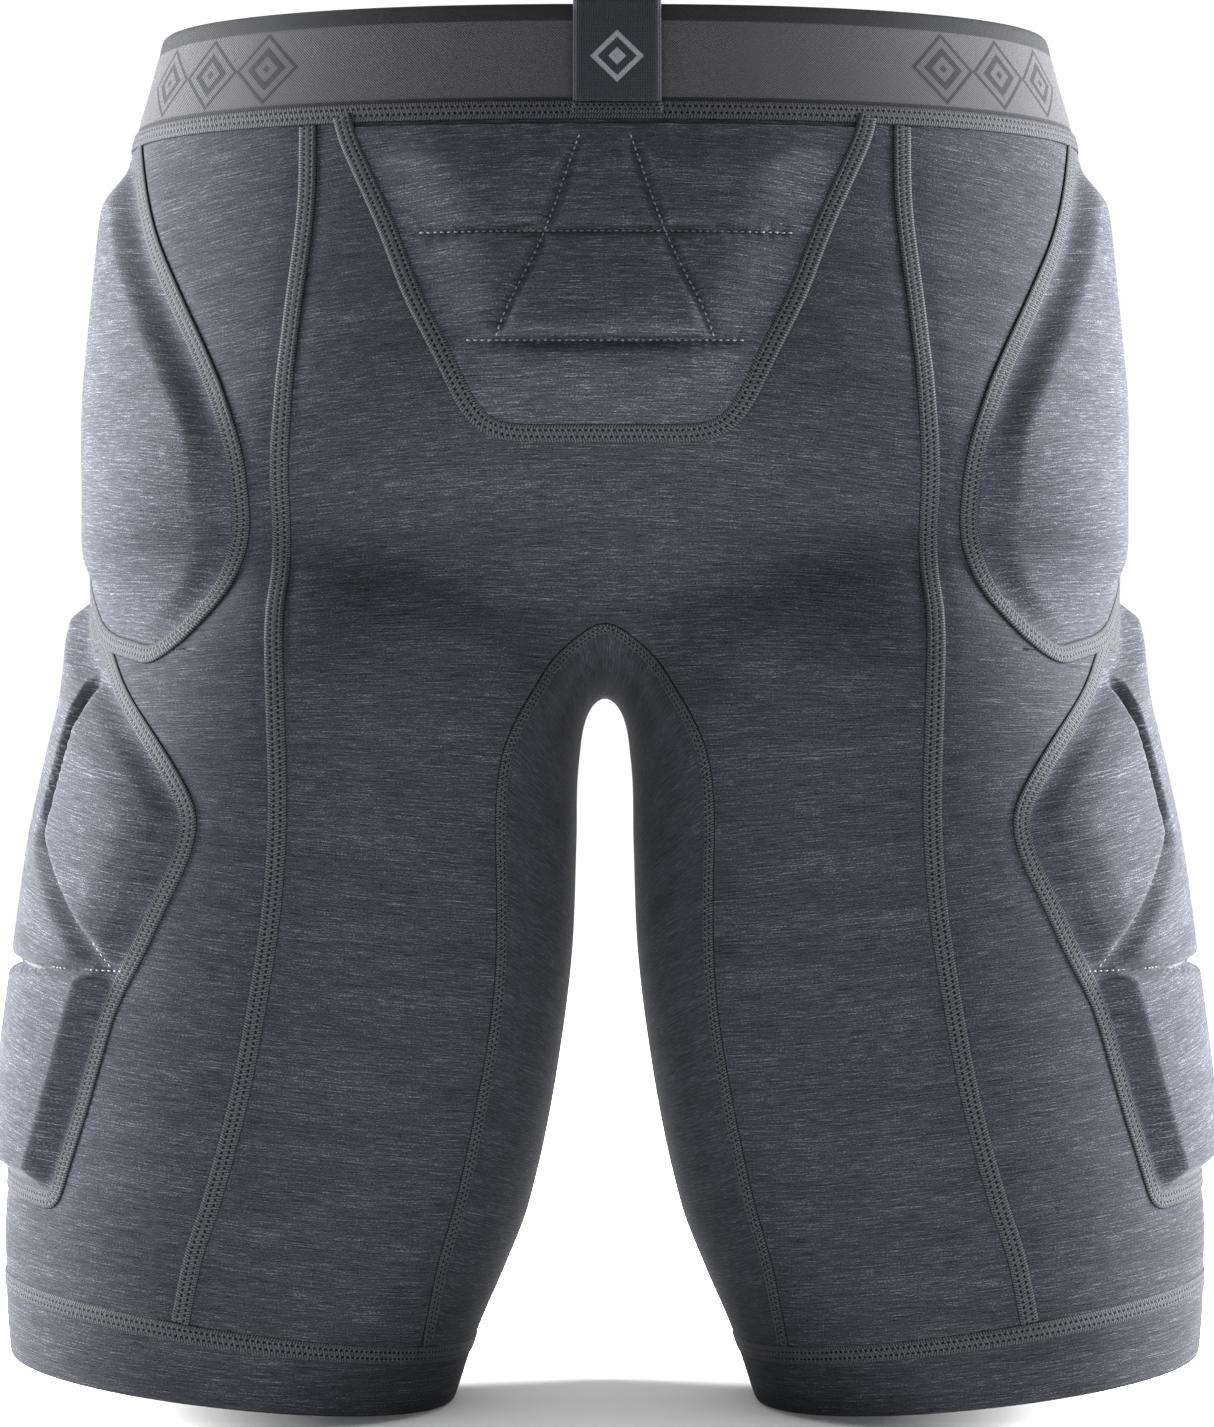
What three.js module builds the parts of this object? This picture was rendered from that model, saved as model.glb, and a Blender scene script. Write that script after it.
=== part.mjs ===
// Padded impact shorts, worn shape: a knitted body with foam pads at the tailbone, hips and thighs.
// Millimetres, +Z up. The back of the shorts faces -Y and x = 0 is the centre line.
// Everything is laid on one smooth body form. Each cloth piece is a grid of points on that form,
// given a thickness along the form's normals; the left side is the right side mirrored.
import * as THREE from 'three';

// ---------------------------------------------------------------- driving dimensions
const TOP_Z = 472;              // top edge of the waistband
const WAIST_Z = 436;            // where band and body fabric meet
const CROTCH_Z = 247;           // lowest point of the gusset between the legs
const HEM_TILT = 6.5;           // degrees, the cut edge of each leg rises outwards
const HEM_SEAM_TILT = 8.5;      // degrees, the seam above it
const HEM_SEAM_RISE = 21;       // height of that seam over the inner corner of the leg
const LEG_INNER_X = 52;         // inner corner of the leg at the bottom
const PANEL = 1.9;              // body fabric as a solid
const COVER = 1.0;              // pad cover
const LINING = 0.6;             // pad lining
const LAYER_GAP = 0.3;          // air between two stacked layers
const BAND = 2.2;               // elastic waistband
const SEAM_WIDTH = 6.5;
const SEAM = 0.9;               // thickness of a seam's threads
const SEAM_GAP = 1.2;           // seam over the fabric
const CUT_GAP = 0.5;            // each panel stops this far short of the seam line
const PAD = 8.6;                // outside of a pad cover over the body form
const TAIL_PAD = 10.2;
const TAIL_BASE = 2.7;          // the tailbone pocket lies on the back panel
const MARGIN = 4.5;             // flat sewing margin round a pad
const BEVEL = 6.5;              // width over which a pad rises to its full height
const CHANNEL = 3;              // slit between two foam segments
const FOAM_AIR = 1.2;           // air between a foam segment and its cover
const LOOP_WIDTH = 29;
const LOOP_X = 4;               // middle of the loop, a little off the centre line
const LOOP = 1.1;

// ---------------------------------------------------------------- the body form
// A profile is a short list of [height, value] knots joined by a smooth curve.
function profile(knots) {
  return (z) => {
    const last = knots.length - 1;
    if (z <= knots[0][0]) return knots[0][1];
    if (z >= knots[last][0]) return knots[last][1];
    let i = 0;
    while (z > knots[i + 1][0]) i += 1;
    const slope = (a, b) => (knots[b][1] - knots[a][1]) / (knots[b][0] - knots[a][0]);
    const h = knots[i + 1][0] - knots[i][0];
    const t = (z - knots[i][0]) / h;
    const m0 = slope(Math.max(i - 1, 0), i + 1) * h;
    const m1 = slope(i, Math.min(i + 2, last)) * h;
    const [p0, p1] = [knots[i][1], knots[i + 1][1]];
    return p0 * (1 + 2 * t) * (1 - t) ** 2 + m0 * t * (1 - t) ** 2
      + p1 * t * t * (3 - 2 * t) + m1 * t * t * (t - 1);
  };
}

const hipHalfWidth = profile([
  [150, 120], [200, 150], [240, 168], [265, 175], [290, 177], [320, 175], [350, 173],
  [385, 170], [415, 167], [436, 162], [455, 156.5], [472, 152]]);
const seatDepth = profile([
  [150, 82], [220, 106], [255, 119], [290, 126], [325, 125], [365, 117], [415, 104], [440, 98],
  [472, 93]]);
const bellyDepth = profile([
  [150, 74], [220, 92], [255, 100], [290, 104], [330, 107], [370, 107], [415, 106], [440, 103],
  [472, 99]]);
const legCentre = profile([
  [0, 129], [26, 126], [47, 122], [68, 118], [110, 111], [152, 105.5], [194, 101.7], [215, 99.3],
  [236, 96], [262, 92], [282, 87], [302, 84], [332, 80]]);
const legHalfWidth = profile([
  [0, 74], [26, 80], [47, 85], [68, 89], [110, 92], [152, 92], [194, 89.8], [215, 87.7],
  [236, 86], [262, 83], [282, 76], [302, 64], [332, 38]]);
const legBackDepth = profile([
  [0, 77], [26, 81], [68, 87], [110, 91], [152, 94], [194, 97], [236, 101], [262, 100],
  [282, 92], [302, 76], [332, 44]]);
const legFrontDepth = profile([
  [0, 76], [26, 80], [68, 85], [110, 88], [152, 91], [194, 94], [236, 95], [262, 92],
  [282, 84], [302, 70], [332, 40]]);

// Signed distance-like value of a rounded section: negative inside.
function section(dx, dy, halfWidth, depth, power) {
  const rho = ((Math.abs(dx) / halfWidth) ** power + (Math.abs(dy) / depth) ** power) ** (1 / power);
  return (rho - 1) * (halfWidth + depth) / 2;
}

function smoothMin(a, b, blend) {
  const h = Math.min(Math.max(0.5 + 0.5 * (b - a) / blend, 0), 1);
  return b + (a - b) * h - blend * h * (1 - h);
}

function bodyForm(p) {
  const hip = section(p.x, p.y, hipHalfWidth(p.z), p.y < 0 ? seatDepth(p.z) : bellyDepth(p.z), 2.3);
  const under = (CROTCH_Z + 0.0062 * p.y * p.y - p.z) * 0.9;
  const torso = -smoothMin(-hip, -under, 34);
  const side = Math.sqrt(p.x * p.x + 36);
  const leg = section(side - legCentre(p.z), p.y, legHalfWidth(p.z),
    p.y < 0 ? legBackDepth(p.z) : legFrontDepth(p.z), 2.1);
  return smoothMin(torso, leg, 22);
}

function slopeOf(p) {
  const e = 0.02;
  const g = new THREE.Vector3();
  for (const axis of ['x', 'y', 'z']) {
    const ahead = p.clone();
    const behind = p.clone();
    ahead[axis] += e;
    behind[axis] -= e;
    g[axis] = (bodyForm(ahead) - bodyForm(behind)) / (2 * e);
  }
  return g;
}

// A point moved onto the form, with the form's outward normal.
function settle(start) {
  const p = start.clone();
  for (let k = 0; k < 14; k += 1) {
    const g = slopeOf(p);
    p.addScaledVector(g, -bodyForm(p) / g.lengthSq());
  }
  return { p, n: slopeOf(p).normalize() };
}

// The point of the form first met when coming from outside along one axis.
function meet(axis, from, fixed) {
  const at = (v) => new THREE.Vector3(fixed.x ?? 0, fixed.y ?? 0, fixed.z).setComponent(axis, v);
  const step = from > 0 ? -2 : 2;
  let far = from;
  while (bodyForm(at(far + step)) > 0 && Math.abs(far) > 2) far += step;
  let near = far + step;
  for (let k = 0; k < 40; k += 1) {
    const mid = (far + near) / 2;
    if (bodyForm(at(mid)) > 0) far = mid;
    else near = mid;
  }
  return at(near);
}

// facing = -1 for the back, +1 for the front
const onFace = (facing) => (x, z) => meet(1, facing * 260, { x, z });
const onSide = (y, z) => meet(0, 300, { y, z });

// ---------------------------------------------------------------- curves on the form
const curveThrough = (points) => new THREE.CatmullRomCurve3(points, false, 'centripetal');

// Points of a curve at given distances along it, settled on the form.
function sample(curve, distances) {
  const whole = curve.getLength();
  return distances.map((d) => settle(curve.getPointAt(Math.min(Math.max(d / whole, 0), 1))));
}

// A point slid along the form to a plane, given as a height for each x. Its normal lies in the plane,
// so that a cut edge there is flat.
function slideTo(plane, start) {
  let q = start.clone();
  for (let k = 0; k < 8; k += 1) {
    q.z = plane(q.x);
    q = settle(q).p;
  }
  q.z = plane(q.x);
  const up = new THREE.Vector3(plane(q.x) - plane(q.x + 1), 0, 1).normalize();
  const n = slopeOf(q);
  n.addScaledVector(up, -n.dot(up)).normalize();
  return { p: q, n };
}

const waistPlane = () => WAIST_Z;

// Evenly spaced numbers from a to b in n steps.
function even(a, b, n) {
  return Array.from({ length: n + 1 }, (_, i) => a + (b - a) * i / n);
}

// Distances along a length: fixed ones at the head and tail, even ones between each pair of stops.
function stations(stops, counts) {
  const all = [stops[0]];
  counts.forEach((n, i) => all.push(...even(stops[i], stops[i + 1], n).slice(1)));
  return all;
}

const hemZ = (x) => Math.tan(THREE.MathUtils.degToRad(HEM_TILT)) * (x - LEG_INNER_X);
const hemSeamZ = (x) =>
  HEM_SEAM_RISE + Math.tan(THREE.MathUtils.degToRad(HEM_SEAM_TILT)) * (x - LEG_INNER_X);

// Princess seam, waist to hem seam.
function princessCurve(facing) {
  const at = onFace(facing);
  return curveThrough([
    at(97.5, WAIST_Z), at(97.5, 407), at(101, 374), at(104.5, 341), at(106.5, 308), at(107.5, 276),
    at(107.5, 243), at(107, 210), at(109, 177), at(114, 144), at(120.5, 111), at(129.5, 78),
    at(135.5, 60), at(141, hemSeamZ(141))]);
}

// Gusset seam from the centre of the arch down the inner leg to the hem seam.
function gussetCurve(facing) {
  const at = onFace(facing);
  return curveThrough([
    at(0, 270), at(11.7, 262.7), at(21.5, 251), at(28, 239.6), at(33.4, 227.4), at(35.9, 210),
    at(35.7, 177), at(36.9, 144), at(42.2, 110), at(49.2, 77), at(55.5, 55),
    at(62.3, hemSeamZ(62.3))]);
}

// Middle line of the gusset: under the crotch and down the inside of the leg.
function innerLegCurve() {
  const points = [[0, CROTCH_Z], [5, 243.5], [8, 236], [9, 225], [10, 200], [11, 170], [13, 140],
    [17, 110], [25, 77], [34, 50], [47, 20]];
  return curveThrough(points.map(([x, z]) => settle(new THREE.Vector3(x, 0, z)).p));
}

// Back or front edge of the hip pad, waist to the tip of its lower lobe.
function hipEdgeCurve(facing) {
  const at = onFace(facing);
  return curveThrough([
    at(158.5, WAIST_Z), at(156.5, 421), at(151, 398), at(142, 377), at(132, 356), at(125, 339),
    at(121, 325), at(119.7, 308), at(120.6, 295), at(124, 284), at(130, 274), at(140, 264),
    at(150, 257.5)]);
}

// Lower edge of the hip pad, lobe tip to the notch on the side line; the thigh pad starts there.
function notchCurve(facing) {
  return curveThrough([
    onFace(facing)(150, 257.5), onSide(facing * 45, 265), onSide(facing * 25, 277.5),
    onSide(facing * 10, 287), onSide(0, 290)]);
}

// Back or front edge of the thigh pad, lobe tip to its bottom corner.
function thighEdgeCurve(facing) {
  const at = onFace(facing);
  return curveThrough([
    at(150, 257.5), at(148.5, 246), at(145, 232), at(138.5, 220), at(135.5, 208), at(138.5, 193),
    at(146, 177), at(154, 160), at(163, 142.5), at(168.5, 125), at(173.5, 108), at(179, 91),
    at(184, 75)]);
}

function thighBottomCurve(facing) {
  return curveThrough([
    onFace(facing)(184, 75), onSide(facing * 25, 78), onSide(0, 79.5)]);
}

// ---------------------------------------------------------------- grids
// One row of a grid: points between two settled ends, at fractions of the way.
function between(a, b, fractions) {
  return fractions.map((f) => {
    if (f <= 0) return a;
    if (f >= 1) return b;
    return settle(a.p.clone().lerp(b.p, f));
  });
}

// The same with the whole row on a plane.
const betweenOn = (plane, a, b, fractions) =>
  between(a, b, fractions).map(({ p }) => slideTo(plane, p));

// A row given by distances from its first end. bow(f) bends it away from the straight line.
function outFrom(a, b, distances, bow = null) {
  const whole = a.p.distanceTo(b.p);
  return distances.map((d) => {
    const f = d / whole;
    if (f <= 0) return a;
    if (f >= 1) return b;
    const p = a.p.clone().lerp(b.p, f);
    return settle(bow ? p.add(bow(f)) : p);
  });
}

const flipX = ({ p, n }) => ({
  p: new THREE.Vector3(-p.x, p.y, p.z),
  n: new THREE.Vector3(-n.x, n.y, n.z),
});
const mirrored = (rows) => rows.map((row) => row.map(flipX));

const gridTurned = (rows) => rows[0].map((_, j) => rows.map((row) => row[j]));

// The two halves of a grid joined at the centre line they share.
const joined = (half, otherHalf) => [...half, ...otherHalf.slice(0, -1).reverse()];

// ---------------------------------------------------------------- solids
// A closed solid between two offsets of a grid. The offsets are numbers or functions of (row, column).
function sheetSolid(rows, low, high, { ring = false } = {}) {
  const count = rows.length;
  const width = rows[0].length;
  const value = (offset, i, j) => (typeof offset === 'function' ? offset(i, j) : offset);
  const position = [];
  for (const offset of [high, low]) {
    rows.forEach((row, i) => row.forEach(({ p, n }, j) => {
      const v = p.clone().addScaledVector(n, value(offset, i, j));
      position.push(v.x, v.y, v.z);
    }));
  }
  const outer = (i, j) => i * width + (ring ? j % width : j);
  const inner = (i, j) => count * width + outer(i, j);
  const faces = [];
  const quad = (a, b, c, d) => faces.push([a, b, c], [a, c, d]);
  const across = ring ? width : width - 1;
  for (let i = 0; i < count - 1; i += 1) {
    for (let j = 0; j < across; j += 1) {
      quad(outer(i, j), outer(i, j + 1), outer(i + 1, j + 1), outer(i + 1, j));
      quad(inner(i, j), inner(i + 1, j), inner(i + 1, j + 1), inner(i, j + 1));
    }
  }
  for (let j = 0; j < across; j += 1) {
    quad(outer(0, j + 1), outer(0, j), inner(0, j), inner(0, j + 1));
    quad(outer(count - 1, j), outer(count - 1, j + 1), inner(count - 1, j + 1), inner(count - 1, j));
  }
  if (!ring) {
    for (let i = 0; i < count - 1; i += 1) {
      quad(outer(i, 0), outer(i + 1, 0), inner(i + 1, 0), inner(i, 0));
      quad(outer(i + 1, width - 1), outer(i, width - 1), inner(i, width - 1), inner(i + 1, width - 1));
    }
  }
  const corner = (k) => new THREE.Vector3().fromArray(position, 3 * k);
  const middle = Math.floor((count - 1) / 2);
  const face = new THREE.Vector3().crossVectors(
    corner(outer(middle, 1)).sub(corner(outer(middle, 0))),
    corner(outer(middle + 1, 0)).sub(corner(outer(middle, 0))));
  const facesOut = face.dot(rows[middle][0].n) > 0;
  const geometry = new THREE.BufferGeometry();
  geometry.setAttribute('position', new THREE.Float32BufferAttribute(position, 3));
  geometry.setIndex(faces.flatMap(([a, b, c]) => (facesOut ? [a, b, c] : [a, c, b])));
  return geometry;
}

// A panel's grid drawn back a little from the seam lines at the ends of its rows.
function drawnBack(rows, gap = CUT_GAP) {
  return rows.map((row) => {
    const last = row.length - 1;
    const moved = (a, b) => {
      const step = b.p.clone().sub(a.p).setLength(gap);
      return { p: a.p.clone().add(step), n: a.n };
    };
    return row.map((point, j) => {
      if (j === 0) return moved(point, row[1]);
      if (j === last) return moved(point, row[last - 1]);
      return point;
    });
  });
}

// The same for the first and the last row.
function endsDrawnBack(rows, gap = CUT_GAP) {
  const last = rows.length - 1;
  const moved = (row, next) => row.map((point, j) => {
    const step = next[j].p.clone().sub(point.p).setLength(gap);
    return { p: point.p.clone().add(step), n: point.n };
  });
  return rows.map((row, i) => {
    if (i === 0) return moved(row, rows[1]);
    if (i === last) return moved(row, rows[last - 1]);
    return row;
  });
}

// A seam's ribbon along a line of points. Each point brings one neighbour on either side, so the
// ribbon lies parallel to the facets that it joins.
function seamRows(line, sideA, sideB) {
  return line.map((point, i) => {
    const before = line[Math.max(i - 1, 0)].p;
    const after = line[Math.min(i + 1, line.length - 1)].p;
    const along = after.clone().sub(before).normalize();
    const reach = (other) => {
      const way = other.p.clone().sub(point.p).normalize();
      const slant = Math.max(Math.sqrt(1 - way.dot(along) ** 2), 0.85);
      return { p: point.p.clone().addScaledVector(way, SEAM_WIDTH / 2 / slant), n: point.n };
    };
    return [reach(sideA[i]), reach(sideB[i])];
  });
}

// Shorten an open ribbon at either end, to leave room for the seam it runs into.
function trimmed(rows, head, tail) {
  const cut = (row, next, length) => {
    const middle = (r) => r[0].p.clone().add(r[1].p).multiplyScalar(0.5);
    const f = length / middle(row).distanceTo(middle(next));
    return row.map((point, j) => ({ p: point.p.clone().lerp(next[j].p, f), n: point.n }));
  };
  const out = [...rows];
  if (head > 0) out[0] = cut(rows[0], rows[1], head);
  const last = rows.length - 1;
  if (tail > 0) out[last] = cut(rows[last], rows[last - 1], tail);
  return out;
}

// ---------------------------------------------------------------- grid layout shared by all panels
const WAIST_STEPS = 4;          // waist edge of the back panel, centre to princess seam
const HIP_STEPS = [1, 1, 4, 1, 1];
const THIGH_STEPS = [1, 1, 1, 2, 1, 2, 1, 1];
const HIP_ROWS = HIP_STEPS.reduce((a, b) => a + b);
const THIGH_ROWS = THIGH_STEPS.reduce((a, b) => a + b);
const PAD_COLUMNS = 7;          // across half a hip or thigh pad
const SEAT_COLUMNS = [0, 0.08, 0.28, 0.5, 0.74, 1];
const SIDE_COLUMNS = [0, 0.5, 1];
const GUSSET_COLUMNS = [0, 0.5, 1];

// Everything on the right-hand quarter of the form, back (facing -1) or front (facing +1).
function quarter(facing) {
  const princess = princessCurve(facing);
  const gusset = gussetCurve(facing);
  const inner = innerLegCurve();
  const hipEdge = hipEdgeCurve(facing);
  const notch = notchCurve(facing);
  const thighEdge = thighEdgeCurve(facing);
  const thighBottom = thighBottomCurve(facing);

  // pad edges
  const hipLength = hipEdge.getLength();
  const hipLine = sample(hipEdge,
    stations([0, MARGIN, MARGIN + BEVEL, hipLength - 13, hipLength - 5.5, hipLength], HIP_STEPS));
  hipLine[0] = slideTo(waistPlane, hipLine[0].p);
  const sideTop = onSide(0, WAIST_Z);
  const sideDown = curveThrough([sideTop, onSide(0, 420), onSide(0, 390), onSide(0, 350),
    onSide(0, 320), onSide(0, 290)]);
  const sideLength = sideDown.getLength();
  const hipMiddle = sample(sideDown,
    stations([0, MARGIN, MARGIN + BEVEL, sideLength - 13, sideLength - 5.5, sideLength], HIP_STEPS));
  hipMiddle[0] = slideTo(waistPlane, hipMiddle[0].p);
  const notchStart = notch.getPointAt(0);
  const notchEnd = notch.getPointAt(1);
  const notchBow = (f) => notch.getPointAt(f).sub(notchStart.clone().lerp(notchEnd, f));
  const notchLine = sample(notch, even(0, notch.getLength(), PAD_COLUMNS));

  const thighStops = (whole, fold) =>
    [0, 8.5, 13.5, 20, fold - CHANNEL / 2, fold + CHANNEL / 2, whole - 2.4 * MARGIN, whole - MARGIN,
      whole];
  const thighLength = thighEdge.getLength();
  const thighLine = sample(thighEdge, stations(thighStops(thighLength, 116), THIGH_STEPS));
  const thighDown = curveThrough([onSide(0, 290), onSide(0, 250), onSide(0, 215), onSide(0, 180),
    onSide(0, 150), onSide(0, 120), onSide(0, 79.5)]);
  const middleLength = thighDown.getLength();
  const thighMiddle = sample(thighDown, stations(thighStops(middleLength, 140), THIGH_STEPS));
  const bottomLine = sample(thighBottom, even(0, thighBottom.getLength(), PAD_COLUMNS));

  // princess and gusset seams
  const princessLength = princess.getLength();
  const rows = HIP_ROWS + THIGH_ROWS;
  const princessLine = sample(princess,
    stations([0, princessLength * 0.44, princessLength], [HIP_ROWS, THIGH_ROWS]));
  princessLine[0] = slideTo(waistPlane, princessLine[0].p);
  princessLine[rows] = slideTo(hemSeamZ, princessLine[rows].p);
  const gussetLength = gusset.getLength();
  const gussetStops = stations([0, 0.1, 0.2, 0.28, 1], [WAIST_STEPS, HIP_ROWS, 2, THIGH_ROWS - 2]);
  const gussetLine = sample(gusset, gussetStops.map((f) => f * gussetLength));
  gussetLine[WAIST_STEPS + rows] = slideTo(hemSeamZ, gussetLine[WAIST_STEPS + rows].p);
  const innerLength = inner.getLength();
  const innerLine = sample(inner, gussetStops.map((f) => f * innerLength));
  innerLine[WAIST_STEPS + rows] = slideTo(hemSeamZ, innerLine[WAIST_STEPS + rows].p);

  // waist edge of the back or front panel, centre to princess seam
  const waistLine = even(0, 97.5, WAIST_STEPS)
    .map((x) => slideTo(waistPlane, onFace(facing)(x, WAIST_Z)));
  waistLine[WAIST_STEPS] = princessLine[0];

  // hem edge from the princess seam to the side line
  const hemStart = princessLine[rows].p;
  const hemEnd = onSide(0, hemSeamZ(206));
  const hemCorner = onFace(facing)(185, hemSeamZ(185));
  const hemCurve = curveThrough([hemStart, onFace(facing)(165, hemSeamZ(165)), hemCorner,
    onSide(facing * 22, hemSeamZ(204)), hemEnd]);
  const hemLine = sample(hemCurve, even(0, hemCurve.getLength(), PAD_COLUMNS))
    .map(({ p }) => slideTo(hemSeamZ, p));

  return {
    facing, rows, hipLine, hipMiddle, notchLine, notchBow, thighLine, thighMiddle, bottomLine,
    princessLine, gussetLine, innerLine, waistLine, hemLine,
  };
}

// Half of the back or front panel: rows from the outer edge (waist, then princess seam) to the gusset.
function seatHalf(q) {
  const outer = [...q.waistLine.slice(0, -1), ...q.princessLine];
  const last = outer.length - 1;
  return outer.map((point, i) => (i === last
    ? betweenOn(hemSeamZ, point, q.gussetLine[i], SEAT_COLUMNS)
    : between(point, q.gussetLine[i], SEAT_COLUMNS)));
}

// Half of a side panel: rows from the princess seam and hem to the pads, waist to the side line.
function sideHalf(q) {
  const padEdge = [...q.hipLine, ...q.thighLine.slice(1), ...q.bottomLine.slice(1)];
  const outer = [...q.princessLine, ...q.hemLine.slice(1)];
  return outer.map((point, i) => (i === 0
    ? betweenOn(waistPlane, point, padEdge[i], SIDE_COLUMNS)
    : between(point, padEdge[i], SIDE_COLUMNS)));
}

// Half of the gusset: rows from its back seam under the crotch to its front seam.
function gussetHalf(back, front) {
  const last = back.gussetLine.length - 1;
  const across = (i, a, b) => (i === last
    ? betweenOn(hemSeamZ, a, b, GUSSET_COLUMNS)
    : between(a, b, GUSSET_COLUMNS));
  return back.gussetLine.map((point, i) => [
    ...across(i, point, back.innerLine[i]),
    ...across(i, back.innerLine[i], front.gussetLine[i]).slice(1)]);
}

// Half of the hip pad, edge to side line, rows waist to notch.
function hipHalf(q) {
  return q.hipLine.map((edge, i) => {
    if (i === HIP_ROWS) return q.notchLine;
    const span = edge.p.distanceTo(q.hipMiddle[i].p);
    const toMiddle = stations([0, MARGIN, MARGIN + BEVEL, span], [1, 1, PAD_COLUMNS - 2]);
    if (i === 0) return betweenOn(waistPlane, edge, q.hipMiddle[0], toMiddle.map((d) => d / span));
    return outFrom(edge, q.hipMiddle[i], toMiddle, i >= HIP_ROWS - 2 ? q.notchBow : null);
  });
}

// Half of the thigh pad. The channel between the edge and centre segments runs down the pad and
// turns out to the edge at the fold, below which one segment fills the whole width.
const THIGH_FOLD = THIGH_STEPS.slice(0, 4).reduce((a, b) => a + b);
function thighHalf(q) {
  return q.thighLine.map((edge, i) => {
    if (i === 0) return q.notchLine;
    if (i === THIGH_ROWS) return q.bottomLine;
    const middle = q.thighMiddle[i];
    const span = edge.p.distanceTo(middle.p);
    const turn = Math.max(0, Math.min(1, (i - THIGH_FOLD + 2) / 2));
    const straight = span * 0.48;
    const fold = MARGIN + BEVEL + 6;
    const channel = i <= THIGH_FOLD ? straight + (fold - straight) * turn : span * 0.45;
    return outFrom(edge, middle, stations(
      [0, MARGIN, MARGIN + BEVEL, channel - CHANNEL / 2, channel + CHANNEL / 2, span],
      [1, 1, 1, 1, 3]), i <= 3 ? q.notchBow : null);
  });
}

// A whole pad grid: back half and front half joined at the side line.
const wholePad = (half, back, front) =>
  half(back).map((row, i) => [...row, ...half(front)[i].slice(0, -1).reverse()]);

// ---------------------------------------------------------------- pads
// Height of a cover: flat at the margin, then full height inside the bevel.
function padHeight(rowCount, columnCount, flat, full, flatRows) {
  return (i, j) => {
    const edge = Math.min(j, columnCount - 1 - j);
    const down = i - (flatRows[0] - 1);
    const up = rowCount - 1 - i - (flatRows[1] - 1);
    return Math.min(edge, down, up) <= 1 ? flat : full;
  };
}

const part = (grid, i0, i1, j0, j1) => grid.slice(i0, i1 + 1).map((row) => row.slice(j0, j1 + 1));

// ---------------------------------------------------------------- materials
const cloth = (colour, roughness = 0.9) =>
  new THREE.MeshStandardMaterial({ color: colour, roughness, metalness: 0 });
const knit = cloth(0x41434d);
const padKnit = cloth(0x4a4c56);
const foamGrey = cloth(0x2c2c30, 0.95);
const liningMesh = cloth(0x2f3036);
const elastic = cloth(0x5a5a5e, 0.8);
const webbing = cloth(0x202228, 0.85);
const thread = cloth(0x55575a, 0.75);

const group = new THREE.Group();
group.name = 'padded_impact_shorts';

function add(name, geometry, material) {
  const mesh = new THREE.Mesh(geometry, material);
  mesh.name = name;
  group.add(mesh);
  return mesh;
}

// ---------------------------------------------------------------- build
const back = quarter(-1);
const front = quarter(1);
const FABRIC_SEAM = PANEL + SEAM_GAP;

function addSeatPanels() {
  for (const [name, q] of [['back_panel', back], ['front_panel', front]]) {
    const half = seatHalf(q);
    const whole = joined(half.slice().reverse(), mirrored(half).slice().reverse());
    add(name, sheetSolid(endsDrawnBack(drawnBack(whole)), 0, PANEL), knit);
  }
}

function addSidePanels() {
  const half = sideHalf(back);
  const whole = joined(half, sideHalf(front));
  const ready = endsDrawnBack(drawnBack(whole, 2 * CUT_GAP));
  add('side_panel_r', sheetSolid(ready, 0, PANEL), knit);
  add('side_panel_l', sheetSolid(mirrored(ready), 0, PANEL), knit);
}

function addGusset() {
  const half = gussetHalf(back, front);
  const whole = joined(half.slice().reverse(), mirrored(half).slice().reverse());
  add('gusset', sheetSolid(endsDrawnBack(drawnBack(whole)), 0, PANEL), knit);
}

const BOTH_SIDES = [['r', (grid) => grid], ['l', mirrored]];
const PAD_BASE = LINING + LAYER_GAP;

function addHipPads() {
  const grid = wholePad(hipHalf, back, front);
  const width = grid[0].length;
  const covered = endsDrawnBack(drawnBack(grid));
  const lined = endsDrawnBack(drawnBack(grid, 2 * CUT_GAP), 2 * CUT_GAP);
  const outside = padHeight(grid.length, width, PAD_BASE + COVER, PAD, [1, 1]);
  const inside = (i, j) => outside(i, j) - COVER;
  const foam = part(grid, 2, grid.length - 3, 2, width - 3);
  for (const [side, turn] of BOTH_SIDES) {
    add(`hip_pad_cover_${side}`, sheetSolid(turn(covered), inside, outside), padKnit);
    add(`hip_pad_foam_${side}`, sheetSolid(turn(foam), PAD_BASE, PAD - COVER - FOAM_AIR), foamGrey);
    add(`hip_pad_lining_${side}`, sheetSolid(turn(lined), 0, LINING), liningMesh);
  }
}

function addThighPads() {
  const grid = wholePad(thighHalf, back, front);
  const last = grid[0].length - 1;
  const bottom = grid.length - 3;
  const covered = endsDrawnBack(drawnBack(grid));
  const lined = endsDrawnBack(drawnBack(grid, 2 * CUT_GAP), 2 * CUT_GAP);
  const outside = padHeight(grid.length, last + 1, PAD_BASE + COVER, PAD, [2, 1]);
  const inside = (i, j) => outside(i, j) - COVER;
  const segments = {
    back: part(grid, 3, THIGH_FOLD, 2, 3),
    centre: part(grid, 3, THIGH_FOLD, 4, last - 4),
    front: part(grid, 3, THIGH_FOLD, last - 3, last - 2),
    lower: part(grid, THIGH_FOLD + 1, bottom, 2, last - 2),
  };
  for (const [side, turn] of BOTH_SIDES) {
    add(`thigh_pad_cover_${side}`, sheetSolid(turn(covered), inside, outside), padKnit);
    add(`thigh_pad_lining_${side}`, sheetSolid(turn(lined), 0, LINING), liningMesh);
    for (const [place, foam] of Object.entries(segments)) {
      add(`thigh_foam_${place}_${side}`,
        sheetSolid(turn(foam), PAD_BASE, PAD - COVER - FOAM_AIR), foamGrey);
    }
  }
}

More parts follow.
